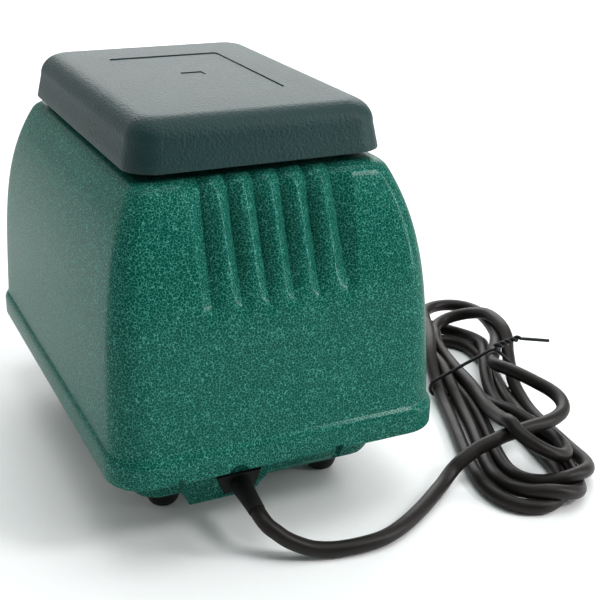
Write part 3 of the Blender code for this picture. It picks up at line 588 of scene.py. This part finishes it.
turn_plug = Matrix.Rotation(PLUG_TURN, 3, "Z")
body = to_object("mains_plug_body", aim(plug_body(), plug_place, turn_plug))
ribs = [(0, 0), (0.0050, 0), (0.0050, 0.0012)]
for number in range(4):
    height, radius = 0.0012 + 0.0030 * number, 0.0050 + 0.0004 * number
    ribs += [(radius + 0.0005, height + 0.0004), (radius + 0.0005, height + 0.0018),
             (radius - 0.0003, height + 0.0022), (radius - 0.0003, height + 0.0030)]
ribs += [(0.0068, 0.0140), (0, 0.0140)]
tail = to_object("plug_tail", aim(aim(turned(ribs, 32), (0, -0.0310, 0.0102), ALONG_Y), plug_place,
                                  turn_plug))
carve(body, tail, operation="UNION")
dress(body, moulded_pvc, ["mains_plug"], crease=40)

# %% Sleeve and gland
GLAND = Vector((-0.0180, -0.1050, 0.0250))
RELIEF_DROP = math.radians(9)
sleeve_profile = [(0, 0), (0.0055, 0), (0.0058, 0.0004), (0.0057, 0.0020), (0.0053, 0.0060),
                  (0.0048, 0.0120), (0.0045, 0.0180), (0.0043, 0.0216), (0.0042, 0.0220),
                  (0, 0.0220)]
sleeve = aim(turned(sleeve_profile, 40), (0, 0, 0), ALONG_MINUS_Y)
aim(sleeve, GLAND + Vector((0, -0.0028, 0)), Matrix.Rotation(RELIEF_DROP, 3, "X"))
sleeve = dress(to_object("cord_sleeve", sleeve), nitrile_rubber, ["strain_relief"])


def prism_along_y(outline, y_low, y_high, edge=0.0):
    """Push an (x, z) outline from one y to another, with its front edge softened."""
    bm = bmesh.new()
    face = bm.faces.new([bm.verts.new((x, y_low, z)) for x, z in outline])
    front = face.edges[:]
    raise_faces(bm, [face], (0, y_high - y_low, 0))
    if edge:
        near = [e for e in bm.edges if all(abs(v.co.y - y_low) < 1e-6 for v in e.verts)]
        bmesh.ops.bevel(bm, geom=near, offset=edge, segments=3, profile=0.5, affect="EDGES",
                        material=-1)
    return bm


def gland_outline(shrink):
    return [(GLAND.x - 0.0128 + shrink, 0.0310 - shrink), (GLAND.x - 0.0084 + shrink, 0.0195 + shrink),
            (GLAND.x + 0.0084 - shrink, 0.0195 + shrink), (GLAND.x + 0.0128 - shrink, 0.0310 - shrink)]


gland = to_object("rubber_gland", prism_along_y(gland_outline(0.0003), GLAND.y - 0.0015,
                                                GLAND.y + 0.0070, 0.0008))
dress(gland, nitrile_rubber, ["cord_gland"])

# %% [markdown]
# ## The painted casing
#
# The upper housing is an aluminium casting under veined enamel: a dark green ground with a net
# of lighter hair-thin veins, about 1.5 mm from vein to vein. The paint draws itself into that
# net as it dries, and it holds a little metal flake. A thin clear skin on it gives the narrow
# highlights on the ribs. A Voronoi texture gives distance from cell edges; bending its
# coordinates with noise makes the cells irregular, and a second noise lets the veins fade.


# %% Veined enamel
def veined_enamel():
    made, tree, shader, position = new_material("veined_enamel_on_aluminium", Metallic=0.08, IOR=1.5,
                                                Specular_IOR_Level=0.02, Coat_Weight=0.12,
                                                Coat_Roughness=0.12)
    wander = add(tree, "TexNoise", {"Scale": per_metre(1.2), "Detail": 2}, {"Vector": position})
    offset = add(tree, "VectorMath", {"operation": "SCALE", "Scale": 0.0014},
                 {0: wander.outputs["Color"]})
    bent = add(tree, "VectorMath", {"operation": "ADD"}, {0: position, 1: offset.outputs[0]})
    cells = add(tree, "TexVoronoi", {"feature": "DISTANCE_TO_EDGE", "Scale": per_metre(1.5)},
                {"Vector": bent.outputs[0]})
    vein = add(tree, "MapRange", {"interpolation_type": "SMOOTHSTEP", "From Min": 0.0,
                                  "From Max": 0.09, "To Min": 1.0, "To Max": 0.0},
               {"Value": cells.outputs["Distance"]})
    patches = add(tree, "TexNoise", {"Scale": per_metre(1.1), "Detail": 1}, {"Vector": position})
    strength = add(tree, "MapRange", {"From Min": 0.34, "From Max": 0.58, "To Min": 0.22,
                                      "To Max": 1.0}, {"Value": patches.outputs["Fac"]})
    net = add(tree, "Math", {"operation": "MULTIPLY"},
              {0: vein.outputs["Result"], 1: strength.outputs["Result"]})
    drift = add(tree, "TexNoise", {"Scale": per_metre(45), "Detail": 2}, {"Vector": position})
    ground = add(tree, "Mix", {"data_type": "RGBA", 6: colour("#06443a"), 7: colour("#094c42")},
                 {0: drift.outputs["Fac"]})
    paint = add(tree, "Mix", {"data_type": "RGBA", 7: colour("#4da08d")},
                {0: net.outputs[0], 6: ground.outputs[2]})
    gloss = add(tree, "MapRange", {"To Min": 0.30, "To Max": 0.40}, {"Value": net.outputs[0]})
    relief = add(tree, "Bump", {"Strength": 0.14, "Distance": 0.0002}, {"Height": net.outputs[0]})
    link_surface(tree, shader, paint, relief, gloss)
    return made


enamel = veined_enamel()
print("paint:", enamel.name, len(enamel.node_tree.nodes), "nodes")

# %% [markdown]
# ### Upper housing
#
# The casing leans in from a rolled skirt edge to a flat top, and its two ends carry five rounded
# ribs with deep valleys between them. It is drawn as one long pull: a rounded plate for the top,
# sliced into narrow columns where the ribs are, whose edge is extruded downwards ring by ring.
# Each ring is set to the outline that the casing has at its height, and the valleys push the
# ring inwards. Then the same edge carries on round the skirt and up the inside as the wall.

# %% Pulling a shell ring by ring
def remember_homes(bm):
    """Store where each vertex of a flat outline was drawn; returns a function that reads it."""
    layer_x, layer_y = (bm.verts.layers.float.new("home_" + axis) for axis in "xy")
    for vert in bm.verts:
        vert[layer_x], vert[layer_y] = vert.co.x, vert.co.y
    return lambda vert: Vector((vert[layer_x], vert[layer_y]))


def pull_ring(bm, edges, home, place):
    """Extrude a ring of edges and set each new vertex by a rule on its home."""
    new = bmesh.ops.extrude_edge_only(bm, edges=edges)["geom"]
    for vert in (item for item in new if isinstance(item, bmesh.types.BMVert)):
        vert.co = place(home(vert))
    return [item for item in new if isinstance(item, bmesh.types.BMEdge)]


# %% Outline of the casing at a height
HALF_X, HALF_Y, CORNER = 0.0900, 0.12875, 0.0200
FULL_X, FULL_Y = HALF_X - CORNER, HALF_Y - CORNER       # where the corners of the outline begin
SKIRT_BOTTOM, LEDGE, CASE_TOP, WALL = 0.0461, 0.0603, 0.1874, 0.0035
TOP_ROUND = 0.0050
RIB_PITCH = 0.01365
FLUTE_LOW, FLUTE_HIGH, FLUTE_DEPTH = 0.1245, 0.1874, 0.0058
OUTER_RIB = 2 * RIB_PITCH
VALLEY_TOP, EDGE_TOP = 0.0338, 0.0445         # outer valley and its far edge, at the top
VALLEY_LOW, EDGE_LOW = 0.0365, 0.0405         # and where the flutes run out
PLAIN_FROM = 0.0465                           # the ends are plain from here to the corners


def lean(z):
    """How far sides and ends lean in at a height."""
    rise = (z - LEDGE) / (CASE_TOP - LEDGE)
    side = 0.0018 + 0.0045 * rise + 0.0175 * rise ** 4
    end = 0.0025 + 0.0140 * rise + 0.0155 * rise ** 4
    over = max(0.0, z - (CASE_TOP - TOP_ROUND)) / TOP_ROUND
    rounding = TOP_ROUND * (1 - math.sqrt(max(0.0, 1 - over * over)))
    return side + rounding, end + rounding, 0.0190 - 0.0090 * rise


def flute_lines(z):
    """How far up the flutes a height is, and where the outer valley and its far edge lie there."""
    up = min(max((z - FLUTE_LOW) / (FLUTE_HIGH - FLUTE_LOW), 0.0), 1.0)
    return (up, VALLEY_LOW + (VALLEY_TOP - VALLEY_LOW) * up, EDGE_LOW + (EDGE_TOP - EDGE_LOW) * up)


def flute_depth(x, z):
    """Depth of the valleys at a place across the end and at a height."""
    if z <= FLUTE_LOW:
        return 0.0
    up, valley, edge = flute_lines(z)
    straight = lean(FLUTE_LOW)[1] + (lean(CASE_TOP - TOP_ROUND)[1] + FLUTE_DEPTH
                                     - lean(FLUTE_LOW)[1]) * up ** 0.92
    depth = max(0.0, straight - lean(min(z, CASE_TOP - TOP_ROUND))[1])
    x = abs(x)
    if x > valley:
        return depth * max(0.0, 1 - (x - valley) / (edge - valley))
    if x > OUTER_RIB:
        away = (x - OUTER_RIB) / (valley - OUTER_RIB)
    else:
        near = round(x / RIB_PITCH) * RIB_PITCH
        away = abs(x - near) / (RIB_PITCH / 2)
    share = 0.80 + 0.20 * up                     # grooves are narrower where they start
    return depth * max(0.0, (away - (1 - share)) / share) ** 1.45


def on_outline(at, half_x, half_y, radius):
    """Where a point of the full-size outline lies on a smaller rounded rectangle, unsigned."""
    x, y = abs(at.x), abs(at.y)
    if x > FULL_X and y > FULL_Y:                # round the corner
        return (half_x - radius + (x - FULL_X) / CORNER * radius,
                half_y - radius + (y - FULL_Y) / CORNER * radius)
    return (half_x if x > FULL_X else x / FULL_X * (half_x - radius),
            half_y if y > FULL_Y else y / FULL_Y * (half_y - radius))


def casing_point(at, z):
    """Where a point of the top outline, drawn at full size, lies at a height."""
    side, end, radius = lean(z)
    x, y = on_outline(at, HALF_X - side, HALF_Y - end, radius)
    if abs(at.y) > FULL_Y and abs(at.x) <= FULL_X:
        _, valley, edge = flute_lines(z)
        x = np.interp(abs(at.x), (0, OUTER_RIB, VALLEY_TOP, EDGE_TOP, PLAIN_FROM, FULL_X),
                      (0, OUTER_RIB, valley, edge, PLAIN_FROM, HALF_X - side - radius))
        y -= flute_depth(x, z)
    return Vector((math.copysign(x, at.x), math.copysign(y, at.y), z))


# %% Pull the casing ring by ring
def column_places():
    """Where the top plate is sliced so that ribs and valleys have enough columns."""
    across_rib = [step / 9 for step in range(10)]
    places = [k * RIB_PITCH + side * share * RIB_PITCH / 2 for k in range(3) for side in (-1, 1)
              for share in across_rib if k or side > 0]
    places += [OUTER_RIB + (VALLEY_TOP - OUTER_RIB) * share for share in across_rib]
    places = [place for place in places if place <= OUTER_RIB or place > OUTER_RIB + 1e-6]
    places += [VALLEY_TOP + (EDGE_TOP - VALLEY_TOP) * k for k in (0.1, 0.25, 0.5, 0.75, 0.9, 0.97, 1)]
    places += [EDGE_TOP + 0.0004, EDGE_TOP + 0.0012, 0.0520, 0.0600]
    return sorted({round(place, 6) for place in places} | {-round(place, 6) for place in places})


def casing_shell():
    bm = rounded_plate(HALF_X, HALF_Y, CORNER, 0, segments=12)
    slice_across(bm, 0, column_places())
    slice_across(bm, 1, (-0.095, -0.055, 0.0, 0.055, 0.095))
    rim = [edge for edge in bm.edges if edge.is_boundary]
    on_rim = {vert for edge in rim for vert in edge.verts}
    home = remember_homes(bm)
    for vert in bm.verts:
        if vert in on_rim:
            vert.co = casing_point(home(vert), CASE_TOP)
        else:                                    # inside the top plate, drawn in with the rim
            shrink = casing_point(Vector((home(vert).x, HALF_Y)), CASE_TOP)
            vert.co = (math.copysign(shrink.x, home(vert).x), home(vert).y * 0.70, CASE_TOP)
    tops = [CASE_TOP - TOP_ROUND * (1 - math.sin(math.radians(angle)))
            for angle in (80, 68, 56, 44, 32, 20, 8)]
    heights = tops + list(np.linspace(CASE_TOP - TOP_ROUND - 0.0012, FLUTE_LOW - 0.001, 34))
    heights += [0.1180, 0.1100, 0.1000, 0.0880, 0.0760, 0.0680, 0.0640, 0.0616]
    edges = rim
    for z in heights:
        edges = pull_ring(bm, edges, home, lambda at, z=z: casing_point(at, z))

    def skirt(inset, z):
        return lambda at: Vector((math.copysign(abs(at.x) - inset * min(1, abs(at.x) / HALF_X), at.x),
                                  math.copysign(abs(at.y) - inset * min(1, abs(at.y) / HALF_Y), at.y),
                                  z))

    for inset, z in ((0.0019, 0.0609), (0.0017, 0.0606), (0.0013, 0.0602), (0.0009, 0.0597),
                     (0.0005, 0.0590), (0.0002, 0.0581), (0.0, 0.0569), (0.0, 0.0475), (0.0003, 0.0465),
                     (0.0008, SKIRT_BOTTOM), (0.0030, SKIRT_BOTTOM)):
        edges = pull_ring(bm, edges, home, skirt(inset, z))
    edges = pull_ring(bm, edges, home, skirt(WALL, 0.0470))
    inside = [(0.0555, 0.0825, 0.1213, 0.0340), (0.0850, 0.0822, 0.1150, 0.0340),
              (0.1000, 0.0815, 0.1120, 0.0260), (0.1220, 0.0800, 0.1060, 0.0180),
              (0.1500, 0.0755, 0.0965, 0.0140), (0.1700, 0.0680, 0.0880, 0.0120),
              (CASE_TOP - WALL, 0.0590, 0.0820, 0.0100)]
    for z, half_x, half_y, radius in inside:
        def inner(at, z=z, half_x=half_x, half_y=half_y, radius=radius):
            x, y = on_outline(at, half_x, half_y, radius)
            return Vector((math.copysign(x, at.x), math.copysign(y, at.y), z))
        edges = pull_ring(bm, edges, home, inner)
    bmesh.ops.edgeloop_fill(bm, edges=edges)
    return bm


def at_corners(x, y):
    return [(-x, -y), (x, -y), (-x, y), (x, y)]


CORNERS = ("front_left", "front_right", "rear_left", "rear_right")
PEG = (0.0500, 0.0790)
housing = to_object("painted_housing", casing_shell())
tools = [to_object(f"tool_window_{row}", block(0.0380, 0.0155, 0.0040, CASE_TOP - 0.010,
                                               CASE_TOP + 0.005, (0, (row - 1) * 0.0400)))
         for row in range(3)]
tools += [to_object(f"tool_peg_{n}", aim(rod(0.0043, 0.020), (x, y, CASE_TOP - 0.010)))
          for n, (x, y) in enumerate(at_corners(*PEG))]
tools.append(to_object("tool_arch", aim(rod(0.0062, 0.012), (GLAND.x - 0.0093, -HALF_Y - 0.003,
                                                            0.0440), ALONG_Y)))
NOTCHES = ((0.0265, 0.0024), (-0.0580, 0.0016))     # place across the skirt, and half width
for number, (x, width) in enumerate(NOTCHES):
    notch = [(x - width, 0.0440), (x + width, 0.0440), (x + width + 0.0010, 0.0486),
             (x - width + 0.0010, 0.0490)]
    tools.append(to_object(f"tool_notch_{number}", prism_along_y(notch, -HALF_Y - 0.003,
                                                                -HALF_Y + 0.006)))
carve(housing, *tools)
dress(housing, enamel, ["upper_housing"], crease=32)

# %% [markdown]
# ## The filter cover
#
# The cover is injection-moulded ABS in a darker blue-green, with a spark-eroded grain that keeps
# it matt, so it takes only a soft sheen on the rounded front edge. Its sides lean in slightly,
# to come off the mould. It is pulled from its top plate in the same way as the casing, then the
# wall turns in and runs back up as the inside. A shallow panel and a smaller, deeper step in its
# middle are cut in the top.


# %% Grained plastic
def grained_abs():
    made, tree, shader, position = new_material("grained_abs", IOR=1.5, Specular_IOR_Level=0.27)
    cloud = add(tree, "TexNoise", {"Scale": per_metre(30), "Detail": 3}, {"Vector": position})
    tone = add(tree, "Mix", {"data_type": "RGBA", 6: colour("#0a2a2a"), 7: colour("#0e3535")},
               {0: cloud.outputs["Fac"]})
    grain = add(tree, "TexVoronoi", {"feature": "SMOOTH_F1", "Scale": per_metre(1.3)},
                {"Vector": position})
    speck = add(tree, "TexNoise", {"Scale": per_metre(1.2), "Detail": 2}, {"Vector": position})
    both = add(tree, "Math", {"operation": "ADD"}, {0: grain.outputs["Distance"],
                                                    1: speck.outputs["Fac"]})
    gloss = add(tree, "MapRange", {"To Min": 0.44, "To Max": 0.58}, {"Value": speck.outputs["Fac"]})
    bump = add(tree, "Bump", {"Strength": 0.75, "Distance": 0.00030}, {"Height": both.outputs[0]})
    link_surface(tree, shader, tone, bump, gloss)
    return made


abs_grain = grained_abs()
print("plastic:", abs_grain.name, len(abs_grain.node_tree.nodes), "nodes")

# %% Shape of the cover
COVER_BOTTOM, COVER_TOP = 0.1914, 0.2160
COVER_X, COVER_Y = 0.06755, 0.0952
EDGE_ROUND, DRAFT, COVER_WALL = 0.0120, 0.0026, 0.0025


def cover_inset(z):
    straight = COVER_TOP - EDGE_ROUND
    if z <= straight:
        return DRAFT * (z - COVER_BOTTOM) / (straight - COVER_BOTTOM)
    climb = min((z - straight) / EDGE_ROUND, 1.0)
    return DRAFT + EDGE_ROUND * (1 - math.sqrt(1 - climb * climb))


def cover_shell():
    corner = 0.0160
    bm = rounded_plate(COVER_X, COVER_Y, corner, COVER_TOP, segments=12)
    home = remember_homes(bm)

    def ring_point(at, inset, z):
        radius = max(corner - 0.6 * inset, 0.0050)
        middle = Vector((math.copysign(COVER_X - corner, at.x),
                         math.copysign(COVER_Y - corner, at.y)))
        arm = (at - middle) / corner
        spot = Vector((math.copysign(COVER_X - inset - radius, middle.x),
                       math.copysign(COVER_Y - inset - radius, middle.y))) + arm * radius
        return (*spot, z)

    for vert in bm.verts:
        vert.co = ring_point(home(vert), cover_inset(COVER_TOP), COVER_TOP)
    edges = [edge for edge in bm.edges if edge.is_boundary]
    arc = [COVER_TOP - EDGE_ROUND * (1 - math.sin(math.radians(angle))) for angle in range(80, -1, -8)]
    rings = [(cover_inset(z), z) for z in arc]
    rings += [(cover_inset(z), z) for z in (0.2005, 0.1960, COVER_BOTTOM + 0.0006)]
    rings += [(0.0002, COVER_BOTTOM + 0.0002), (0.0007, COVER_BOTTOM),
              (COVER_WALL - 0.0004, COVER_BOTTOM)]
    rings += [(cover_inset(z) + COVER_WALL, z) for z in (0.1960, COVER_TOP - EDGE_ROUND)]
    rings += [(cover_inset(z) + COVER_WALL, z - 0.0018) for z in (0.2090, 0.2125)]
    rings += [(cover_inset(0.2140) + COVER_WALL, COVER_TOP - 0.0036)]
    for inset, z in rings:
        edges = pull_ring(bm, edges, home, lambda at, inset=inset, z=z: ring_point(at, inset, z))
    bmesh.ops.edgeloop_fill(bm, edges=edges)
    return bm


cover = to_object("moulded_cover", cover_shell())
panel = to_object("tool_panel", block(0.0326, 0.0494, 0.0030, COVER_TOP - 0.0006, COVER_TOP + 0.004,
                                      (0, 0.0033)))
badge = to_object("tool_badge", block(0.0062, 0.0040, 0.0006, COVER_TOP - 0.0011, COVER_TOP + 0.004,
                                      (0, 0.0033)))
carve(cover, panel, badge)
peg_profile = [(0, 0.1820), (0.0016, 0.1822), (0.0024, 0.1832), (0.0024, 0.1898),
               (0.0042, 0.1898), (0.0042, 0.2128), (0, 0.2128)]
pegs = [to_object(f"peg_{n}", aim(turned(peg_profile, 24), (x, y, 0)))
        for n, (x, y) in enumerate(at_corners(*PEG))]
carve(cover, *pegs, operation="UNION")
dress(cover, abs_grain, ["filter_cover"], "cover", crease=38)

# %% [markdown]
# ## Rubber feet
#
# The feet are soft nitrile domes with a peg pressed into the tank. Each is a turned part: half
# of its outline, spun round its axis.

# %% Turned feet
FOOT = (0.0475, 0.0685)
FOOT_PEG = 0.0076
TANK_BOTTOM = 0.0178
FOOT_TOP = TANK_BOTTOM - 0.0003

for (x, y), corner_name in zip(at_corners(*FOOT), CORNERS):
    node = "foot_" + corner_name
    low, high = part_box(node)
    radius = (high[0] - low[0]) / 2
    dome = [(0, low[2])]
    for angle in range(0, 91, 10):               # flat in the middle, round towards the side
        dome.append((radius * 0.55 + radius * 0.45 * math.sin(math.radians(angle)),
                     low[2] + (FOOT_TOP - low[2]) * 0.72 * (1 - math.cos(math.radians(angle)))))
    dome += [(radius, TANK_BOTTOM - 0.0010), (radius - 0.0006, FOOT_TOP), (FOOT_PEG, FOOT_TOP),
             (FOOT_PEG, high[2]), (0, high[2])]
    dress(to_object("turned_" + node, aim(turned(dome, 40), (x, y, 0))), nitrile_rubber,
          [node])

# %% [markdown]
# ## The other finishes
#
# Inside the casing are the linear motor and its two pump heads. Zinc-plated steel, stamped
# laminations, tape-wound coils, ferrite magnets, cast aluminium heads and moulded resin each get
# their own surface, so that the inside looks right when the cover is lifted or a part is used
# alone.


# %% Metals
def metal(name, base, worn, roughness, grain, depth, stretch=(1, 1, 1), metallic=1.0):
    """A metal surface with uneven tone and a grain that can be drawn out along one axis."""
    made, tree, shader, position = new_material(name, Metallic=metallic)
    drawn = add(tree, "Mapping", {"Scale": stretch}, {"Vector": position})
    cloud = add(tree, "TexNoise", {"Scale": per_metre(12), "Detail": 4}, {"Vector": position})
    tone = add(tree, "Mix", {"data_type": "RGBA", 6: colour(base), 7: colour(worn)},
               {0: cloud.outputs["Fac"]})
    skin = add(tree, "TexNoise", {"Scale": per_metre(grain), "Detail": 5},
               {"Vector": drawn.outputs["Vector"]})
    gloss = add(tree, "MapRange", {"To Min": roughness - 0.10, "To Max": roughness + 0.10},
                {"Value": skin.outputs["Fac"]})
    bump = add(tree, "Bump", {"Strength": 0.5, "Distance": depth}, {"Height": skin.outputs["Fac"]})
    link_surface(tree, shader, tone, bump, gloss)
    return made


zinc_plate = metal("zinc_plated_steel", "#b9bcc0", "#cfd0cc", 0.34, 3.0, 0.00003)
sand_cast = metal("sand_cast_aluminium", "#9a9c9e", "#b4b5b6", 0.52, 0.9, 0.00015)
lamination = metal("stamped_steel_laminations", "#4c4d50", "#66676a", 0.48, 4.0, 0.00010,
                   stretch=(1, 8, 1))
brass = metal("nickel_plated_brass", "#b8b2a0", "#cfc9b6", 0.28, 2.0, 0.00002)
ferrite = metal("sintered_ferrite", "#2c2d30", "#3a3b3e", 0.55, 0.7, 0.00006, metallic=0.2)
print("metals made; materials so far:", len(bpy.data.materials))


# %% Resin, nylon, tape and foam
def light_moulding(name, base, worn, roughness, depth):
    made, tree, shader, position = new_material(name, IOR=1.52, Subsurface_Weight=0.05)
    cloud = add(tree, "TexNoise", {"Scale": per_metre(14), "Detail": 3}, {"Vector": position})
    tone = add(tree, "Mix", {"data_type": "RGBA", 6: colour(base), 7: colour(worn)},
               {0: cloud.outputs["Fac"]})
    gloss = add(tree, "MapRange", {"To Min": roughness - 0.06, "To Max": roughness + 0.06},
                {"Value": cloud.outputs["Fac"]})
    skin = add(tree, "TexNoise", {"Scale": per_metre(0.8), "Detail": 2}, {"Vector": position})
    bump = add(tree, "Bump", {"Strength": 0.4, "Distance": depth}, {"Height": skin.outputs["Fac"]})
    link_surface(tree, shader, tone, bump, gloss)
    return made


def wound_tape():
    """Cloth tape over a copper winding: overlapping turns about 9 mm wide, with a fine weave."""
    made, tree, shader, position = new_material("cotton_tape_over_copper", Roughness=0.72)
    turns = add(tree, "TexWave", {"wave_type": "BANDS", "bands_direction": "Z",
                                  "wave_profile": "SAW", "Scale": per_metre(9) / 20,
                                  "Distortion": 0.6, "Detail": 1}, {"Vector": position})
    weave = add(tree, "TexVoronoi", {"Scale": per_metre(0.7)}, {"Vector": position})
    tone = add(tree, "Mix", {"data_type": "RGBA", 6: colour("#8a5a2c"), 7: colour("#b98248")},
               {0: turns.outputs["Fac"]})
    height = add(tree, "Math", {"operation": "ADD"}, {0: turns.outputs["Fac"],
                                                      1: weave.outputs["Distance"]})
    bump = add(tree, "Bump", {"Strength": 0.7, "Distance": 0.0003}, {"Height": height.outputs[0]})
    link_surface(tree, shader, tone, bump)
    return made


def open_cell_foam():
    """Reticulated polyurethane: dark grey struts round 2 mm open cells, with painted shade in each hollow.
    """
    made, tree, shader, position = new_material("reticulated_foam", Roughness=0.95)
    cells = add(tree, "TexVoronoi", {"feature": "DISTANCE_TO_EDGE", "Scale": per_metre(2.0)},
                {"Vector": position})
    strut_relief_and_cell_shade = add(tree, "MapRange", {"From Min": 0.0, "From Max": 0.35}, {"Value": cells.outputs["Distance"]})
    # painted shade: the colour runs from the struts' grey to near black in the middle of each cell, where
    # its hollow lies
    tone = add(tree, "Mix", {"data_type": "RGBA", 6: colour("#4a4b4d"), 7: colour("#121213")},
               {0: strut_relief_and_cell_shade.outputs["Result"]})
    bump = add(tree, "Bump", {"Strength": 1.0, "Distance": 0.0012, "invert": True},
               {"Height": strut_relief_and_cell_shade.outputs["Result"]})
    link_surface(tree, shader, tone, bump)
    return made


nylon = light_moulding("moulded_nylon", "#d6d1c1", "#e2ded0", 0.45, 0.00004)
resin = dark_moulding("glass_filled_resin", "#1c1c1f", "#2a2a2d", 0.50, 0.5, 0.00006)
tape = wound_tape()
foam_skin = open_cell_foam()

# %% [markdown]
# ### The foam filter
#
# The filter is a block of open-cell foam, knife-cut to fit under the cover. Cut foam has soft
# edges and faces that belly out a little where nothing holds them.

# %% Foam block
foam_low, foam_high = (Vector(corner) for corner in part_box("filter_element"))
size, middle = foam_high - foam_low, (foam_high + foam_low) / 2
foam = bmesh.new()
bmesh.ops.create_cube(foam, size=1)
bmesh.ops.scale(foam, vec=size - Vector((0.0016, 0.0016, 0.0012)), verts=foam.verts)
bmesh.ops.bevel(foam, geom=foam.edges[:], offset=0.0035, segments=4, profile=0.5, affect="EDGES",
                material=-1)
for axis, count in ((0, 14), (1, 22), (2, 3)):
    slice_across(foam, axis, [(step / count - 0.5) * size[axis] for step in range(1, count)])
for vert in foam.verts:
    share = Vector(vert.co[k] / (size[k] / 2) for k in range(3))
    if vert.co.z > 0:
        vert.co.z += 0.0005 * (1 - share.x ** 2) * (1 - share.y ** 2)
bmesh.ops.translate(foam, vec=middle, verts=foam.verts)
foam_piece = dress(to_object("foam_filter", foam, shift=False), foam_skin,
                   ["filter_element"], "filter", crease=60)

# %% [markdown]
# ### Pieces that keep their CAD shape
#
# The frame's own meshes are loose triangles, so a copy is merged before it is shaded smooth. The
# copy keeps the node's exact shape, and stands for it.

# %% Finish by node
FINISHES = {
    (enamel, "housing_paint"): ["lower_housing"],
    (nitrile_rubber, "rubber"): ["housing_gasket", "tank_gasket", "cover_grommet", "mount_bush",
                                 "diaphragm", "air_tube", "intake_valve", "exhaust_valve"],
    (sand_cast, "cast_aluminium"): ["diaphragm_frame", "head_cover", "valve_body"],
    (zinc_plate, "zinc_steel"): ["diaphragm_plate", "deck_plate", "housing_screw", "rod_nut",
                                 "motor_frame"],
    (nylon, "nylon"): ["armature_rod"],
    (lamination, "lamination_steel"): ["magnet_core"],
    (ferrite, "ferrite"): ["magnet"],
    (tape, "taped_winding"): ["coil"],
    (resin, "moulded_resin"): ["terminal_block", "thermal_cutout"],
    (abs_grain, "cover_plastic"): ["outlet_nozzle"],
    (brass, "plug_brass"): ["plug_blade"],
}
FINISH_OF = {start: finish for finish, starts in FINISHES.items() for start in starts}
WITH_BODY = {node: body for body, members in frame["record"]["behaviour"]["bodies"].items()
             for node in members}
KEPT = {"plug_blade_1", "plug_blade_2"}
shown = [name for name in sorted(nodes) if not nodes[name].hide_render]
for name in shown:
    look, slot = FINISH_OF[max((start for start in FINISH_OF if name.startswith(start)), key=len)]
    if name in KEPT:
        nodes[name].data.materials.clear()
        nodes[name].data.materials.append(look)
        continue
    merged = bmesh.new()
    merged.from_mesh(nodes[name].data)
    bmesh.ops.remove_doubles(merged, verts=merged.verts, dist=1e-6)
    bmesh.ops.dissolve_limit(merged, angle_limit=math.radians(1), verts=merged.verts,
                             edges=merged.edges)
    dress(to_object("finished_" + name, merged, shift=False), look, [name],
          WITH_BODY[name], crease=38)
